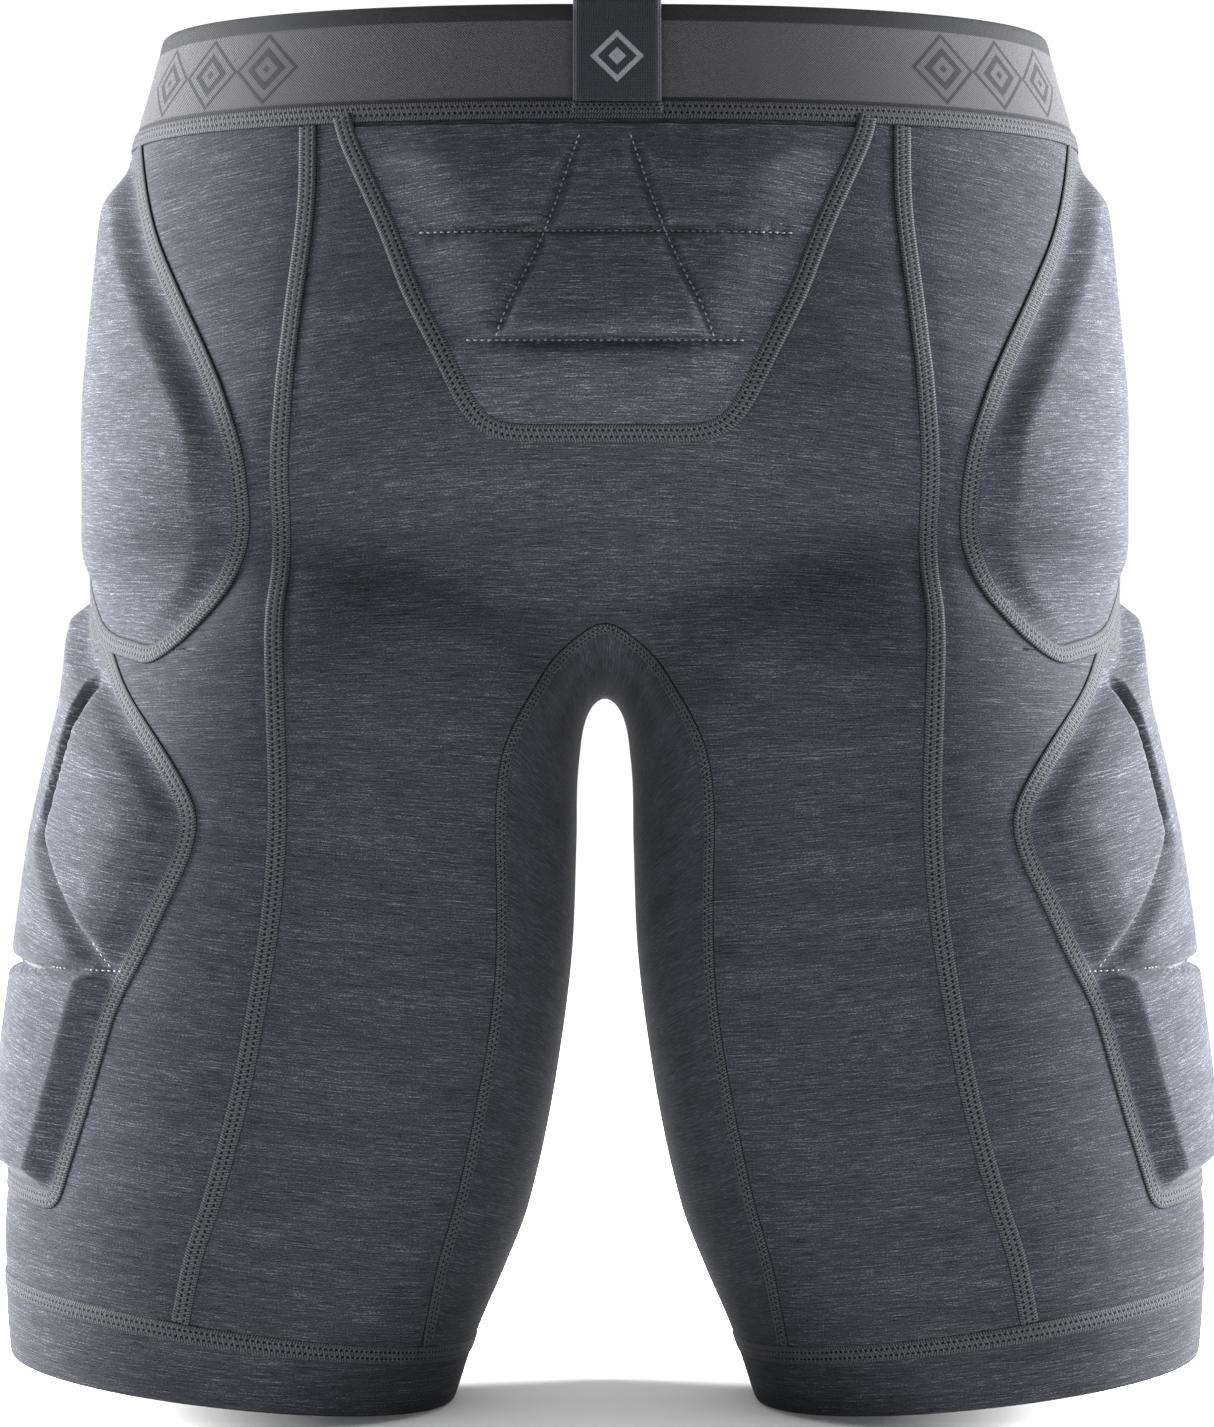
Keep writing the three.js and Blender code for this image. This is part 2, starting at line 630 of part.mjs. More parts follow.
// ---------------------------------------------------------------- tailbone pocket
// Rows run across, waist to bottom; each half row goes from the side edge to the centre line. Two
// slanting channels and two level ones part the seven foam segments.
const TAIL_TOP = WAIST_Z - 5;
const TAIL_ROWS = stations([0, MARGIN, MARGIN + BEVEL, 36, 36 + CHANNEL, 70, 70 + CHANNEL, 90, 96.5,
  101], [1, 1, 1, 1, 1, 1, 1, 1, 1]);
const tailHalfWidth = profile([[0, 87], [16, 79.5], [38, 70], [57, 63], [76, 53], [88, 47.5],
  [96, 43], [101, 36]]);
const tailSlant = profile([[0, 7], [38, 20], [74, 36], [101, 36]]);

function tailGrid() {
  const half = TAIL_ROWS.map((down, i) => {
    const z = TAIL_TOP - down;
    const reach = tailHalfWidth(down);
    const slant = Math.min(tailSlant(down), reach - MARGIN - BEVEL - 6);
    return stations([reach, reach - MARGIN, reach - MARGIN - BEVEL, slant + CHANNEL / 2,
      slant - CHANNEL / 2, 0], [1, 1, 2, 1, 1]).map((x) => settle(onFace(-1)(x, z)));
  });
  return half.map((row) => [...row, ...mirrored([row])[0].slice(0, -1).reverse()]);
}

function addTailbone() {
  const grid = tailGrid();
  const last = grid[0].length - 1;
  const low = TAIL_BASE + COVER;
  const outside = padHeight(grid.length, last + 1, low, TAIL_PAD, [1, 1]);
  add('tailbone_cover', sheetSolid(grid, (i, j) => outside(i, j) - COVER, outside), padKnit);
  const columns = { r: [2, 4], c: [5, last - 5], l: [last - 4, last - 2] };
  const levels = { upper: [2, 3], middle: [4, 5] };
  const top = TAIL_PAD - COVER - FOAM_AIR;
  for (const [level, [i0, i1]] of Object.entries(levels)) {
    for (const [side, [j0, j1]] of Object.entries(columns)) {
      add(`tailbone_foam_${level}_${side}`,
        sheetSolid(part(grid, i0, i1, j0, j1), TAIL_BASE, top), foamGrey);
    }
  }
  add('tailbone_foam_bottom', sheetSolid(part(grid, 6, 7, 2, last - 2), TAIL_BASE, top), foamGrey);

  // its seam: down one side, along the bottom and up the other side, half on the pocket's margin
  const side = (j, next) => grid.map((row) => [row[j], row[next]]);
  const floor = grid[grid.length - 1].map((point, j) => [point, grid[grid.length - 2][j]]);
  const path = [...side(0, 1).slice(0, -1), ...floor, ...side(last, last - 1).slice(0, -1).reverse()];
  const inner = path.map(([point, next]) => {
    const way = next.p.clone().sub(point.p).setLength(MARGIN - 0.9);
    return { p: point.p.clone().add(way), n: point.n };
  });
  const outer = path.map(([point, next]) => {
    const way = point.p.clone().sub(next.p).setLength(SEAM_WIDTH - MARGIN + 0.9);
    return { p: point.p.clone().add(way), n: point.n };
  });
  const low2 = TAIL_BASE + COVER + SEAM_GAP;
  add('tailbone_seam', sheetSolid(inner.map((p, i) => [p, outer[i]]), low2, low2 + SEAM), thread);
}

// ---------------------------------------------------------------- waistband and loop
// The whole waist edge, once round, starting at the centre back.
function waistRing() {
  const hipTop = (q) => hipHalf(q)[0];
  const backHalf = [...back.waistLine, ...sideHalf(back)[0].slice(1), ...hipTop(back).slice(1)];
  const frontHalf = [...front.waistLine, ...sideHalf(front)[0].slice(1), ...hipTop(front).slice(1)];
  const right = [...backHalf, ...frontHalf.slice(0, -1).reverse()];
  return [...right, ...right.slice(1, -1).map(flipX).reverse()];
}

// The same ring carried to another height of the form.
const ringAt = (ring, z) => ring.map(({ p }) => slideTo(() => z, p));

function addWaist() {
  const ring = waistRing();
  const heights = [WAIST_Z + CUT_GAP, (WAIST_Z + TOP_Z) / 2, TOP_Z];
  const rows = heights.map((z) => ringAt(ring, z));
  add('waistband', sheetSolid(rows, 0, BAND, { ring: true }), elastic);
  const seam = [WAIST_Z + SEAM_WIDTH / 2, WAIST_Z - SEAM_WIDTH / 2].map((z) => ringAt(ring, z));
  add('waist_seam', sheetSolid(seam, BAND + SEAM_GAP, BAND + SEAM_GAP + SEAM, { ring: true }), thread);
}

function addLoop() {
  const faceY = (z) => onFace(-1)(0, z).y;
  const bottom = WAIST_Z + 4;
  const inner = WAIST_Z + 10;
  const over = TOP_Z + SEAM_GAP;
  const outerY = (z) => faceY(z) - BAND - SEAM_GAP;
  const innerY = (z) => faceY(z) + SEAM_GAP + 0.3;
  const outline = [
    [outerY(bottom) - LOOP, bottom], [outerY(TOP_Z) - LOOP, over + LOOP],
    [innerY(TOP_Z) + LOOP, over + LOOP], [innerY(inner) + LOOP, inner],
    [innerY(inner), inner], [innerY(TOP_Z), over], [outerY(TOP_Z), over], [outerY(bottom), bottom]];
  const shape = new THREE.Shape(outline.map(([y, z]) => new THREE.Vector2(y, z)));
  const geometry = new THREE.ExtrudeGeometry(shape, { depth: LOOP_WIDTH, bevelEnabled: false });
  // the outline is drawn in (y, z) and pulled out along x
  geometry.applyMatrix4(new THREE.Matrix4().makeBasis(
    new THREE.Vector3(0, 1, 0), new THREE.Vector3(0, 0, 1), new THREE.Vector3(1, 0, 0)));
  geometry.translate(LOOP_X - LOOP_WIDTH / 2, 0, 0);
  add('hang_loop', geometry, webbing);
}

// ---------------------------------------------------------------- hems
// The seam line round the right leg: gusset, back panel, side panel, front panel.
function hemRing() {
  const lastOf = (rows) => rows[rows.length - 1];
  const gusset = lastOf(gussetHalf(back, front));
  const backEdge = lastOf(seatHalf(back)).slice().reverse();
  const frontEdge = lastOf(seatHalf(front));
  return [
    ...backEdge.slice(0, -1), ...back.princessLine.slice(-1), ...back.hemLine.slice(1),
    ...front.hemLine.slice(1, -1).reverse(), ...frontEdge,
    ...gusset.slice(1, -1).reverse()];
}

function addHems() {
  const ring = hemRing();
  const slid = (plane) => ring.map(({ p }) => slideTo(plane, p));
  const step = SEAM_WIDTH / 2;
  const seamPlane = (rise) => (x) => hemSeamZ(x) + rise;
  const band = [slid(seamPlane(-CUT_GAP)), slid((x) => (hemSeamZ(x) + hemZ(x)) / 2), slid(hemZ)];
  const seam = [slid(seamPlane(step)), slid(seamPlane(-step))];
  for (const [side, turn] of BOTH_SIDES) {
    add(`hem_band_${side}`, sheetSolid(turn(band), 0, PANEL, { ring: true }), knit);
    add(`hem_seam_${side}`,
      sheetSolid(turn(seam), FABRIC_SEAM, FABRIC_SEAM + SEAM, { ring: true }), thread);
  }
}

// ---------------------------------------------------------------- seams down the body
function addSeam(name, rows, height = FABRIC_SEAM) {
  add(name, sheetSolid(rows, height, height + SEAM), thread);
}

function addPrincessSeams() {
  for (const [place, q] of [['back', back], ['front', front]]) {
    const seat = seatHalf(q).slice(WAIST_STEPS).map((row) => row[1]);
    const side = sideHalf(q).slice(0, q.rows + 1).map((row) => row[1]);
    const rows = trimmed(seamRows(q.princessLine, seat, side), 4.2, 4.2);
    for (const [hand, turn] of BOTH_SIDES) addSeam(`${place}_seam_${hand}`, turn(rows));
  }
}

function addGussetSeams() {
  for (const [place, q, near] of [['back', back, 1], ['front', front, -2]]) {
    const seat = seatHalf(q).map((row) => row[row.length - 2]);
    const gusset = gussetHalf(back, front).map((row) => row.at(near));
    const half = trimmed(seamRows(q.gussetLine, seat, gusset), 0, 4.2);
    half[0] = half[0].map(({ p, n }) => ({ p: p.clone().setX(0), n: n.clone().setX(0).normalize() }));
    addSeam(`gusset_seam_${place}`,
      joined(half.slice().reverse(), mirrored(half).slice().reverse()));
  }
}

function addPadSeams() {
  // hip: down the back edge, round both lobes and up the front edge
  const hipPart = (q) => {
    const grid = hipHalf(q);
    const thigh = thighHalf(q);
    const side = sideHalf(q);
    const down = seamRows(q.hipLine, side.slice(0, HIP_ROWS + 1).map((row) => row.at(-2)),
      grid.map((row) => row[1]));
    const lobe = seamRows(q.notchLine, thigh[1], grid[HIP_ROWS - 1]);
    return [...trimmed(down, 7.5, 0).slice(0, -1), ...lobe.slice(1)];
  };
  const hip = joined(hipPart(back), hipPart(front));
  // thigh: down the back edge, along the bottom, up the front edge and over under the hip pad
  const thighPart = (q) => {
    const grid = thighHalf(q);
    const side = sideHalf(q).slice(HIP_ROWS);
    const down = seamRows(q.thighLine, side.slice(0, THIGH_ROWS + 1).map((row) => row.at(-2)),
      grid.map((row) => row[1]));
    const floor = seamRows(q.bottomLine, side.slice(THIGH_ROWS).map((row) => row.at(-2)),
      grid[THIGH_ROWS - 1]);
    const over = seamRows(grid[1], grid[0], grid[2]);
    return [...over.slice(1).reverse(), ...down.slice(2, -1), ...floor];
  };
  const thigh = [...thighPart(back), ...thighPart(front).slice(0, -1).reverse()];
  const closed = gridTurned(thigh.slice(0, -1));
  for (const [hand, turn] of BOTH_SIDES) {
    addSeam(`hip_pad_seam_${hand}`, turn(hip));
    add(`thigh_pad_seam_${hand}`,
      sheetSolid(turn(closed), FABRIC_SEAM, FABRIC_SEAM + SEAM, { ring: true }), thread);
  }
}

addWaist();
addLoop();
addSeatPanels();
addSidePanels();
addGusset();
addTailbone();
addHipPads();
addThighPads();
addHems();
addPrincessSeams();
addGussetSeams();
addPadSeams();

// Stand the shorts on z = 0 with the middle of their depth at y = 0.
const box = new THREE.Box3().setFromObject(group);
group.children.forEach((mesh) => mesh.position.set(0, -(box.min.y + box.max.y) / 2, -box.min.z));

export default group;
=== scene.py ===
"""Padded impact shorts: knitted body, tailbone pocket, hip and thigh pads, elastic waistband.

Every cloth piece is laid on the same smooth body form as the frame's solids, in millimetres, and
turned into a closed two-layer sheet in metres. The back of the shorts faces -Y.
"""
import math
from functools import partialmethod

import bpy
import numpy as np
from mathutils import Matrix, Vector


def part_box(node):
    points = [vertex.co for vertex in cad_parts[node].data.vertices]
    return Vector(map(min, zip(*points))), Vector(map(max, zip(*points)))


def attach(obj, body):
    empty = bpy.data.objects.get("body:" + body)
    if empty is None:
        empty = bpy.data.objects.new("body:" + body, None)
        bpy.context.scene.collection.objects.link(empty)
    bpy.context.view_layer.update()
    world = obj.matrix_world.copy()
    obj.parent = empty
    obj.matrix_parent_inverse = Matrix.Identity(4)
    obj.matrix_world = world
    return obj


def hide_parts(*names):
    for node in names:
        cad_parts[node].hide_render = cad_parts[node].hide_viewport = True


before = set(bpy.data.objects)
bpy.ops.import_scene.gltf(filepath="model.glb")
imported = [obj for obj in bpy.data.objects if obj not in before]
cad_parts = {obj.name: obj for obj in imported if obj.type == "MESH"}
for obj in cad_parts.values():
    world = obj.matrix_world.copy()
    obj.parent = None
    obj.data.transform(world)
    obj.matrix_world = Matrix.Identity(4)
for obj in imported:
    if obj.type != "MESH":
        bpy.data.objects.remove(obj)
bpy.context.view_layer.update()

# ---- driving dimensions, millimetres
TOP_Z = 472
WAIST_Z = 436
CROTCH_Z = 253
HEM_TILT = math.radians(6.5)
HEM_SEAM_TILT = math.radians(8.5)
HEM_SEAM_RISE = 21
LEG_INNER_X = 52
NOTCH_FORK = 170                    # how far out the thigh pad's edge leaves the hip pad's
CLOTH_LOW, CLOTH_HIGH = 0.5, 1.9    # the two faces of the body knit over the form
LINING = 0.6
COVER_LOW = 1.9                     # a pad cover where it is flat at its seam
COVER_THICK = 1.0
FOAM_LOW = 0.9
HIP_PAD = 8.4
LOOP_X = 4                          # middle of the hanging loop
THIGH_PAD = 9.0
TAIL_PAD = 7.4
TAIL_LOW = 2.9
BAND = 2.2
SEAM_LIFT = 0.6
SEAM_STEP = 1.6
MIRROR = np.array([-1, 1, 1])


# ---- the body form
def profile(knots):
    """A smooth curve through [height, value] knots, read from a fine table."""
    z = np.array([k[0] for k in knots], float)
    v = np.array([k[1] for k in knots], float)
    last = len(z) - 1
    before = np.maximum(np.arange(last + 1) - 1, 0)
    after = np.minimum(np.arange(last + 1) + 1, last)
    slope = (v[after] - v[before]) / (z[after] - z[before])
    fine = np.arange(z[0], z[-1] + 0.2, 0.2)
    i = np.clip(np.searchsorted(z, fine, side="right") - 1, 0, last - 1)
    h = z[i + 1] - z[i]
    t = np.clip((fine - z[i]) / h, 0, 1)
    table = (v[i] * (1 + 2 * t) * (1 - t) ** 2 + slope[i] * h * t * (1 - t) ** 2
             + v[i + 1] * t * t * (3 - 2 * t) + slope[i + 1] * h * t * t * (t - 1))
    return lambda at: np.interp(at, fine, table)


hip_half_width = profile([
    (150, 120), (200, 150), (240, 168), (265, 175), (290, 177), (320, 175), (350, 173),
    (385, 170), (415, 167), (436, 162), (455, 156.5), (472, 152)])
seat_depth = profile([
    (150, 82), (220, 106), (255, 119), (290, 126), (325, 125), (365, 117), (415, 104), (440, 98),
    (472, 93)])
belly_depth = profile([
    (150, 74), (220, 92), (255, 100), (290, 104), (330, 107), (370, 107), (415, 106), (440, 103),
    (472, 99)])
leg_centre = profile([
    (0, 129), (26, 126), (47, 122), (68, 118), (110, 111), (152, 105.5), (194, 101.7),
    (215, 99.3), (236, 96), (262, 92), (282, 87), (302, 84), (332, 80)])
leg_half_width = profile([
    (0, 74), (26, 80), (47, 85), (68, 89), (110, 92), (152, 92), (194, 89.8), (215, 87.7),
    (236, 86), (262, 83), (282, 76), (302, 64), (332, 38)])
leg_back_depth = profile([
    (0, 77), (26, 81), (68, 87), (110, 91), (152, 94), (194, 97), (236, 101), (262, 100),
    (282, 92), (302, 76), (332, 44)])
leg_front_depth = profile([
    (0, 76), (26, 80), (68, 85), (110, 88), (152, 91), (194, 94), (236, 95), (262, 92),
    (282, 84), (302, 70), (332, 40)])


def section(dx, dy, half_width, depth, power):
    rho = (np.abs(dx / half_width) ** power + np.abs(dy / depth) ** power) ** (1 / power)
    return (rho - 1) * (half_width + depth) / 2


def smooth_min(a, b, blend):
    h = np.clip(0.5 + 0.5 * (b - a) / blend, 0, 1)
    return b + (a - b) * h - blend * h * (1 - h)


def body_form(p):
    """Signed distance-like value of the body form: negative inside. p is an array of points."""
    x, y, z = p[..., 0], p[..., 1], p[..., 2]
    rear = y < 0
    hip = section(x, y, hip_half_width(z), np.where(rear, seat_depth(z), belly_depth(z)), 2.3)
    under = (CROTCH_Z + 0.0062 * y * y - z) * 0.9
    torso = -smooth_min(-hip, -under, 34)
    side = np.sqrt(x * x + 36)
    leg = section(side - leg_centre(z), y, leg_half_width(z),
                  np.where(rear, leg_back_depth(z), leg_front_depth(z)), 2.1)
    return smooth_min(torso, leg, 22)


def slope_of(p):
    e = 0.02
    g = np.empty_like(p)
    for k in range(3):
        step = np.zeros(3)
        step[k] = e
        g[..., k] = (body_form(p + step) - body_form(p - step)) / (2 * e)
    return g


def unit(v):
    return v / np.maximum(np.linalg.norm(v, axis=-1, keepdims=True), 1e-9)


def settle(points, rounds=9):
    """Points moved onto the form, with the form's outward normals."""
    p = np.array(points, float)
    for _ in range(rounds):
        g = slope_of(p)
        p -= g * (body_form(p) / np.maximum((g * g).sum(-1), 1e-9))[..., None]
    return p, unit(slope_of(p))


SIGHT = 260, 300                    # how far out the lines onto the form start, in y and in x


def meet(axis, start, fixed):
    """Where lines from outside, along one axis, first touch the form."""
    p = np.array(fixed, float)
    p[:, axis] = start
    step = -2.0 if start > 0 else 2.0
    live = np.ones(len(p), bool)
    for _ in range(160):
        ahead = p.copy()
        ahead[:, axis] += step
        live &= (body_form(ahead) > 0) & (np.abs(p[:, axis]) > 2)
        p[live, axis] += step
    far, near = p[:, axis].copy(), p[:, axis] + step
    for _ in range(30):
        mid = (far + near) / 2
        p[:, axis] = mid
        outside = body_form(p) > 0
        far, near = np.where(outside, mid, far), np.where(outside, near, mid)
    p[:, axis] = near
    return p


def on_face(facing, pairs):
    """Points of the back (-1) or front (1) seen at these (x, z)."""
    return meet(1, facing * SIGHT[0], [(x, 0, z) for x, z in pairs])


def on_side(pairs):
    """Points of the right side seen at these (y, z)."""
    return meet(0, SIGHT[1], [(0, y, z) for y, z in pairs])


# ---- curves on the form
def spline(points, per=40):
    """Centripetal Catmull-Rom curve through points, as a fine polyline."""
    p = np.array(points, float)
    p = np.vstack([2 * p[0] - p[1], p, 2 * p[-1] - p[-2]])
    out = []
    t = np.linspace(0, 1, per, endpoint=False)[:, None]
    for k in range(1, len(p) - 2):
        a, b, c, d = p[k - 1], p[k], p[k + 1], p[k + 2]
        d0, d1, d2 = (max(np.linalg.norm(v) ** 0.5, 1e-4) for v in (b - a, c - b, d - c))
        t1 = ((b - a) / d0 - (c - a) / (d0 + d1) + (c - b) / d1) * d1
        t2 = ((c - b) / d1 - (d - b) / (d1 + d2) + (d - c) / d2) * d1
        out.append(b + t1 * t + (-3 * b + 3 * c - 2 * t1 - t2) * t ** 2
                   + (2 * b - 2 * c + t1 + t2) * t ** 3)
    out.append(p[-2][None, :])
    return np.vstack(out)


def lengths(line):
    return np.concatenate([[0], np.cumsum(np.linalg.norm(np.diff(line, axis=0), axis=1))])


def spread(line, count=None, at=None):
    """Points at even distances along a polyline, or at given shares of its length."""
    run = lengths(line)
    want = np.linspace(0, run[-1], count) if at is None else np.asarray(at) * run[-1]
    return np.column_stack([np.interp(want, run, line[:, k]) for k in range(3)])


def hem_z(x):
    return math.tan(HEM_TILT) * (x - LEG_INNER_X)


def hem_seam_z(x):
    return HEM_SEAM_RISE + math.tan(HEM_SEAM_TILT) * (x - LEG_INNER_X)


def slide_to(plane, points, rounds=7):
    """Points slid along the form to a plane given as a height for each x."""
    q = np.array(points, float)
    for _ in range(rounds):
        q[:, 2] = plane(q[:, 0])
        q, _n = settle(q, 4)
    q[:, 2] = plane(q[:, 0])
    return q, unit(slope_of(q))


def princess_line(facing):
    return spline(on_face(facing, [
        (97.5, WAIST_Z), (97.5, 407), (101, 374), (104.5, 341), (106.5, 308), (107.5, 276),
        (107.5, 243), (107, 210), (109, 177), (114, 144), (120.5, 111), (129.5, 78), (135.5, 60),
        (141, hem_seam_z(141))]))


def gusset_line(facing):
    return spline(on_face(facing, [
        (0, 270), (11.7, 262.7), (21.5, 251), (28, 239.6), (33.4, 227.4), (35.9, 210),
        (35.7, 177), (36.9, 144), (42.2, 110), (49.2, 77), (55.5, 55), (62.3, hem_seam_z(62.3))]))


def inner_leg_line():
    pairs = [(0, 253), (5, 248), (8, 240), (9, 228), (10, 200), (11, 170), (13, 140), (17, 110),
             (25, 77), (34, 50), (47, 20)]
    return spline(settle([(x, 0, z) for x, z in pairs])[0])


def hip_edge(facing):
    return spline(on_face(facing, [
        (158.5, WAIST_Z), (156.5, 421), (151, 398), (142, 377), (132, 356), (125, 339), (121, 325),
        (119.7, 308), (120.6, 295), (124, 284), (130, 274), (140, 264), (150, 257.5)]))


def notch_line(facing):
    return spline(np.vstack([
        on_face(facing, [(150, 257.5)]),
        on_side([(facing * 45, 265), (facing * 25, 277.5), (facing * 10, 287), (0, 290)])]))


def thigh_edge(facing, start):
    """Where the thigh pad is cut and sewn down, from a point on the notch to its lower corner."""
    return spline(np.vstack([start[None, :], on_face(facing, [
        (160.5, 246), (147.5, 227), (139.5, 214), (136, 205), (138.5, 193),
        (146, 177), (154, 160), (163, 142.5), (168.5, 125), (173.5, 108), (179, 91),
        (184, 75)])]))


def thigh_bottom(facing):
    return spline(np.vstack([
        on_face(facing, [(184, 75)]), on_side([(facing * 25, 78), (0, 79.5)])]))


def hem_run(facing, start):
    return spline(np.vstack([
        start[None, :], on_face(facing, [(165, hem_seam_z(165)), (185, hem_seam_z(185))]),
        on_side([(facing * 22, hem_seam_z(204)), (0, hem_seam_z(206))])]))


def waist_run(facing):
    face = on_face(facing, [(x, WAIST_Z) for x in (0, 30, 60, 90, 120, 140, 152)])
    side = on_side([(facing * y, WAIST_Z) for y in (40, 26, 12, 0)])
    return spline(np.vstack([face, side]))


SIDE_TOP = on_side([(0, WAIST_Z)])
SIDE_HIP = spline(on_side([(0, WAIST_Z), (0, 420), (0, 390), (0, 350), (0, 320), (0, 290)]))
SIDE_THIGH = spline(on_side([(0, 290), (0, 250), (0, 215), (0, 180), (0, 150), (0, 120),
                             (0, 79.5)]))


# ---- grids
def ruled(a, b, shares):
    """Rows of points from line a to line b, settled on the form."""
    shares = np.asarray(shares)[None, :, None]
    return settle(a[:, None, :] * (1 - shares) + b[:, None, :] * shares)


def filled(left, right, top, bottom):
    """A patch filled in between four edge lines, settled on the form."""
    r = np.linspace(0, 1, len(left))[:, None, None]
    c = np.linspace(0, 1, len(top))[None, :, None]
    corners = ((1 - r) * (1 - c) * top[0] + (1 - r) * c * top[-1]
               + r * (1 - c) * bottom[0] + r * c * bottom[-1])
    return settle((1 - c) * left[:, None] + c * right[:, None]
                  + (1 - r) * top[None] + r * bottom[None] - corners)


def flipped(p, n):
    return p * MIRROR, n * MIRROR


def both_sides(grid):
    """The right-hand grid or line, and its left-hand mirror, each with its letter."""
    return ("r", grid), ("l", flipped(*grid))


def mirrored_whole(right):
    """A right-hand grid and its mirror as one grid, sharing the first row on the centre line."""
    return tuple(np.concatenate([a[::-1], b[1:]]) for a, b in zip(right, flipped(*right)))


def joined(first, second):
    """Two grids side by side that share the edge where they meet."""
    return tuple(np.concatenate([a, b[:, ::-1][:, 1:]], axis=1) for a, b in zip(first, second))


def weave(p):
    """Cloth coordinates in metres: u round the body, v up it, bent as the knit hangs."""
    x, y, z = p[..., 0], p[..., 1], p[..., 2]
    down = np.clip((300 - z) / 120, 0, 1)
    down = down * down * (3 - 2 * down)
    wide = np.abs(x)
    lift = (1 - down) * x * x / 1400 - down * math.tan(math.radians(7)) * (wide - 100)
    return np.stack([x, z + lift], -1) / 1000


def round_leg(p):
    """Distance round the outside of the body from the side line, back positive, in millimetres."""
    y, z = p[..., 1], np.minimum(p[..., 2], 262)
    depth = np.where(y < 0, leg_back_depth(z), leg_front_depth(z))
    return 93 * np.arctan2(-y / depth, (np.abs(p[..., 0]) - leg_centre(z)) / leg_half_width(z))


def weave_round(p):
    """The same for a piece on the outside of the leg or hip."""
    uv = weave(p)
    s, z = round_leg(p), p[..., 2]
    uv[..., 0] = s / 1000
    leg = clear((300 - z) / 90)
    uv[..., 1] = (z + np.tan(np.radians(3 + 6 * leg)) * np.sqrt(s * s + 60)) / 1000
    return uv


# ---- from grid to piece
loop_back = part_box("hang_loop")[0][1] * 1000
ANCHOR = on_face(-1, [(0, WAIST_Z + 4)])[0, 1] - BAND - 1.2 - 1.1
FORE = loop_back - ANCHOR
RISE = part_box("waistband")[1][2] * 1000 - TOP_Z


def placed(p):
    """Form millimetres to frame metres."""
    return (p + np.array([0, FORE, RISE])) / 1000


def quads_of(index):
    return np.stack([index[:-1, :-1], index[:-1, 1:], index[1:, 1:], index[1:, :-1]],
                    -1).reshape(-1, 4)


def strip_of(a, b):
    return np.stack([a[1:], a[:-1], b[:-1], b[1:]], -1)


def shell_faces(outer, inner):
    """Faces of a closed sheet between an outer and an inner grid of indices."""
    faces = [quads_of(outer), quads_of(inner)[:, ::-1],
             strip_of(outer[0], inner[0]), strip_of(outer[-1][::-1], inner[-1][::-1])]
    if outer[0, 0] != outer[0, -1]:
        faces += [strip_of(outer[:, 0][::-1], inner[:, 0][::-1]),
                  strip_of(outer[:, -1], inner[:, -1])]
    return np.vstack(faces)


def mesh_from(name, points, faces, uv, rounded):
    """A mesh object. Its first faces, as many as rounded says, are shaded smooth."""
    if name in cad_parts:
        name = "sewn_" + name
    mesh = bpy.data.meshes.new(name)
    mesh.from_pydata(placed(points).tolist(), [], faces)
    mesh.polygons.foreach_set("use_smooth", np.arange(len(faces)) < rounded)
    layer = mesh.uv_layers.new(name="weave")
    layer.data.foreach_set("uv", np.ascontiguousarray(uv, np.float32).ravel())
    mesh.update()
    mesh.validate()
    piece = bpy.data.objects.new(name, mesh)
    bpy.context.scene.collection.objects.link(piece)
    return piece


def sheet(name, grid, low, high, uv, ring=False):
    """A closed two-layer piece over a grid. low and high are heights over the form."""
    p, n = grid
    rows, columns = p.shape[:2]
    low, high = (np.broadcast_to(np.asarray(h, float), (rows, columns)) for h in (low, high))
    points = np.concatenate([(p + n * high[..., None]).reshape(-1, 3),
                             (p + n * low[..., None]).reshape(-1, 3)])
    outer = np.arange(rows * columns).reshape(rows, columns)
    if ring:
        outer = np.concatenate([outer, outer[:, :1]], axis=1)
    faces = shell_faces(outer, outer + rows * columns)
    places = np.arange(uv.shape[0] * uv.shape[1]).reshape(uv.shape[:2])
    if ring:
        walls = strip_of(places[0], places[0]), strip_of(places[-1][::-1], places[-1][::-1])
        uv_faces = np.vstack([quads_of(places), quads_of(places)[:, ::-1], *walls])
    else:
        uv_faces = shell_faces(places, places)
    i, j = rows // 2, columns // 2
    face = np.cross(p[i, j] - p[i, j - 1], p[i, j] - p[i - 1, j])
    if face @ n[i, j] > 0:
        faces, uv_faces = faces[:, ::-1], uv_faces[:, ::-1]
    rounded = 2 * (outer.shape[0] - 1) * (outer.shape[1] - 1)
    return mesh_from(name, points, faces.tolist(), uv.reshape(-1, 2)[uv_faces], rounded)


def finish_piece(piece, finish, *nodes):
    piece.data.materials.append(finish)
    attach(piece, "root")
    if nodes:
        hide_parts(*nodes)
    return piece


def cloth(name, grid, low, high, uv, finish):
    """A stretched sheet that stands for the node of its own name."""
    piece = finish_piece(sheet(name, grid, low, high, uv), finish, name)


def clear(t):
    t = np.clip(t, 0, 1)
    return t * t * (3 - 2 * t)


def off_line(points, line):
    """Distance of each point from a polyline."""
    flat = points.reshape(-1, points.shape[-1])
    best = np.full(len(flat), 1e9)
    for a, b in zip(line[:-1], line[1:]):
        way = b - a
        t = np.clip(((flat - a) @ way) / (way @ way), 0, 1)
        best = np.minimum(best, np.linalg.norm(flat - a - t[:, None] * way, axis=1))
    return best.reshape(points.shape[:-1])


def least(*ramps, power=3):
    """The lowest of several 0..1 ramps, rounded where they meet."""
    fall = sum((1 - r) ** power for r in ramps)
    return np.clip(1 - fall ** (1 / power), 0, 1)


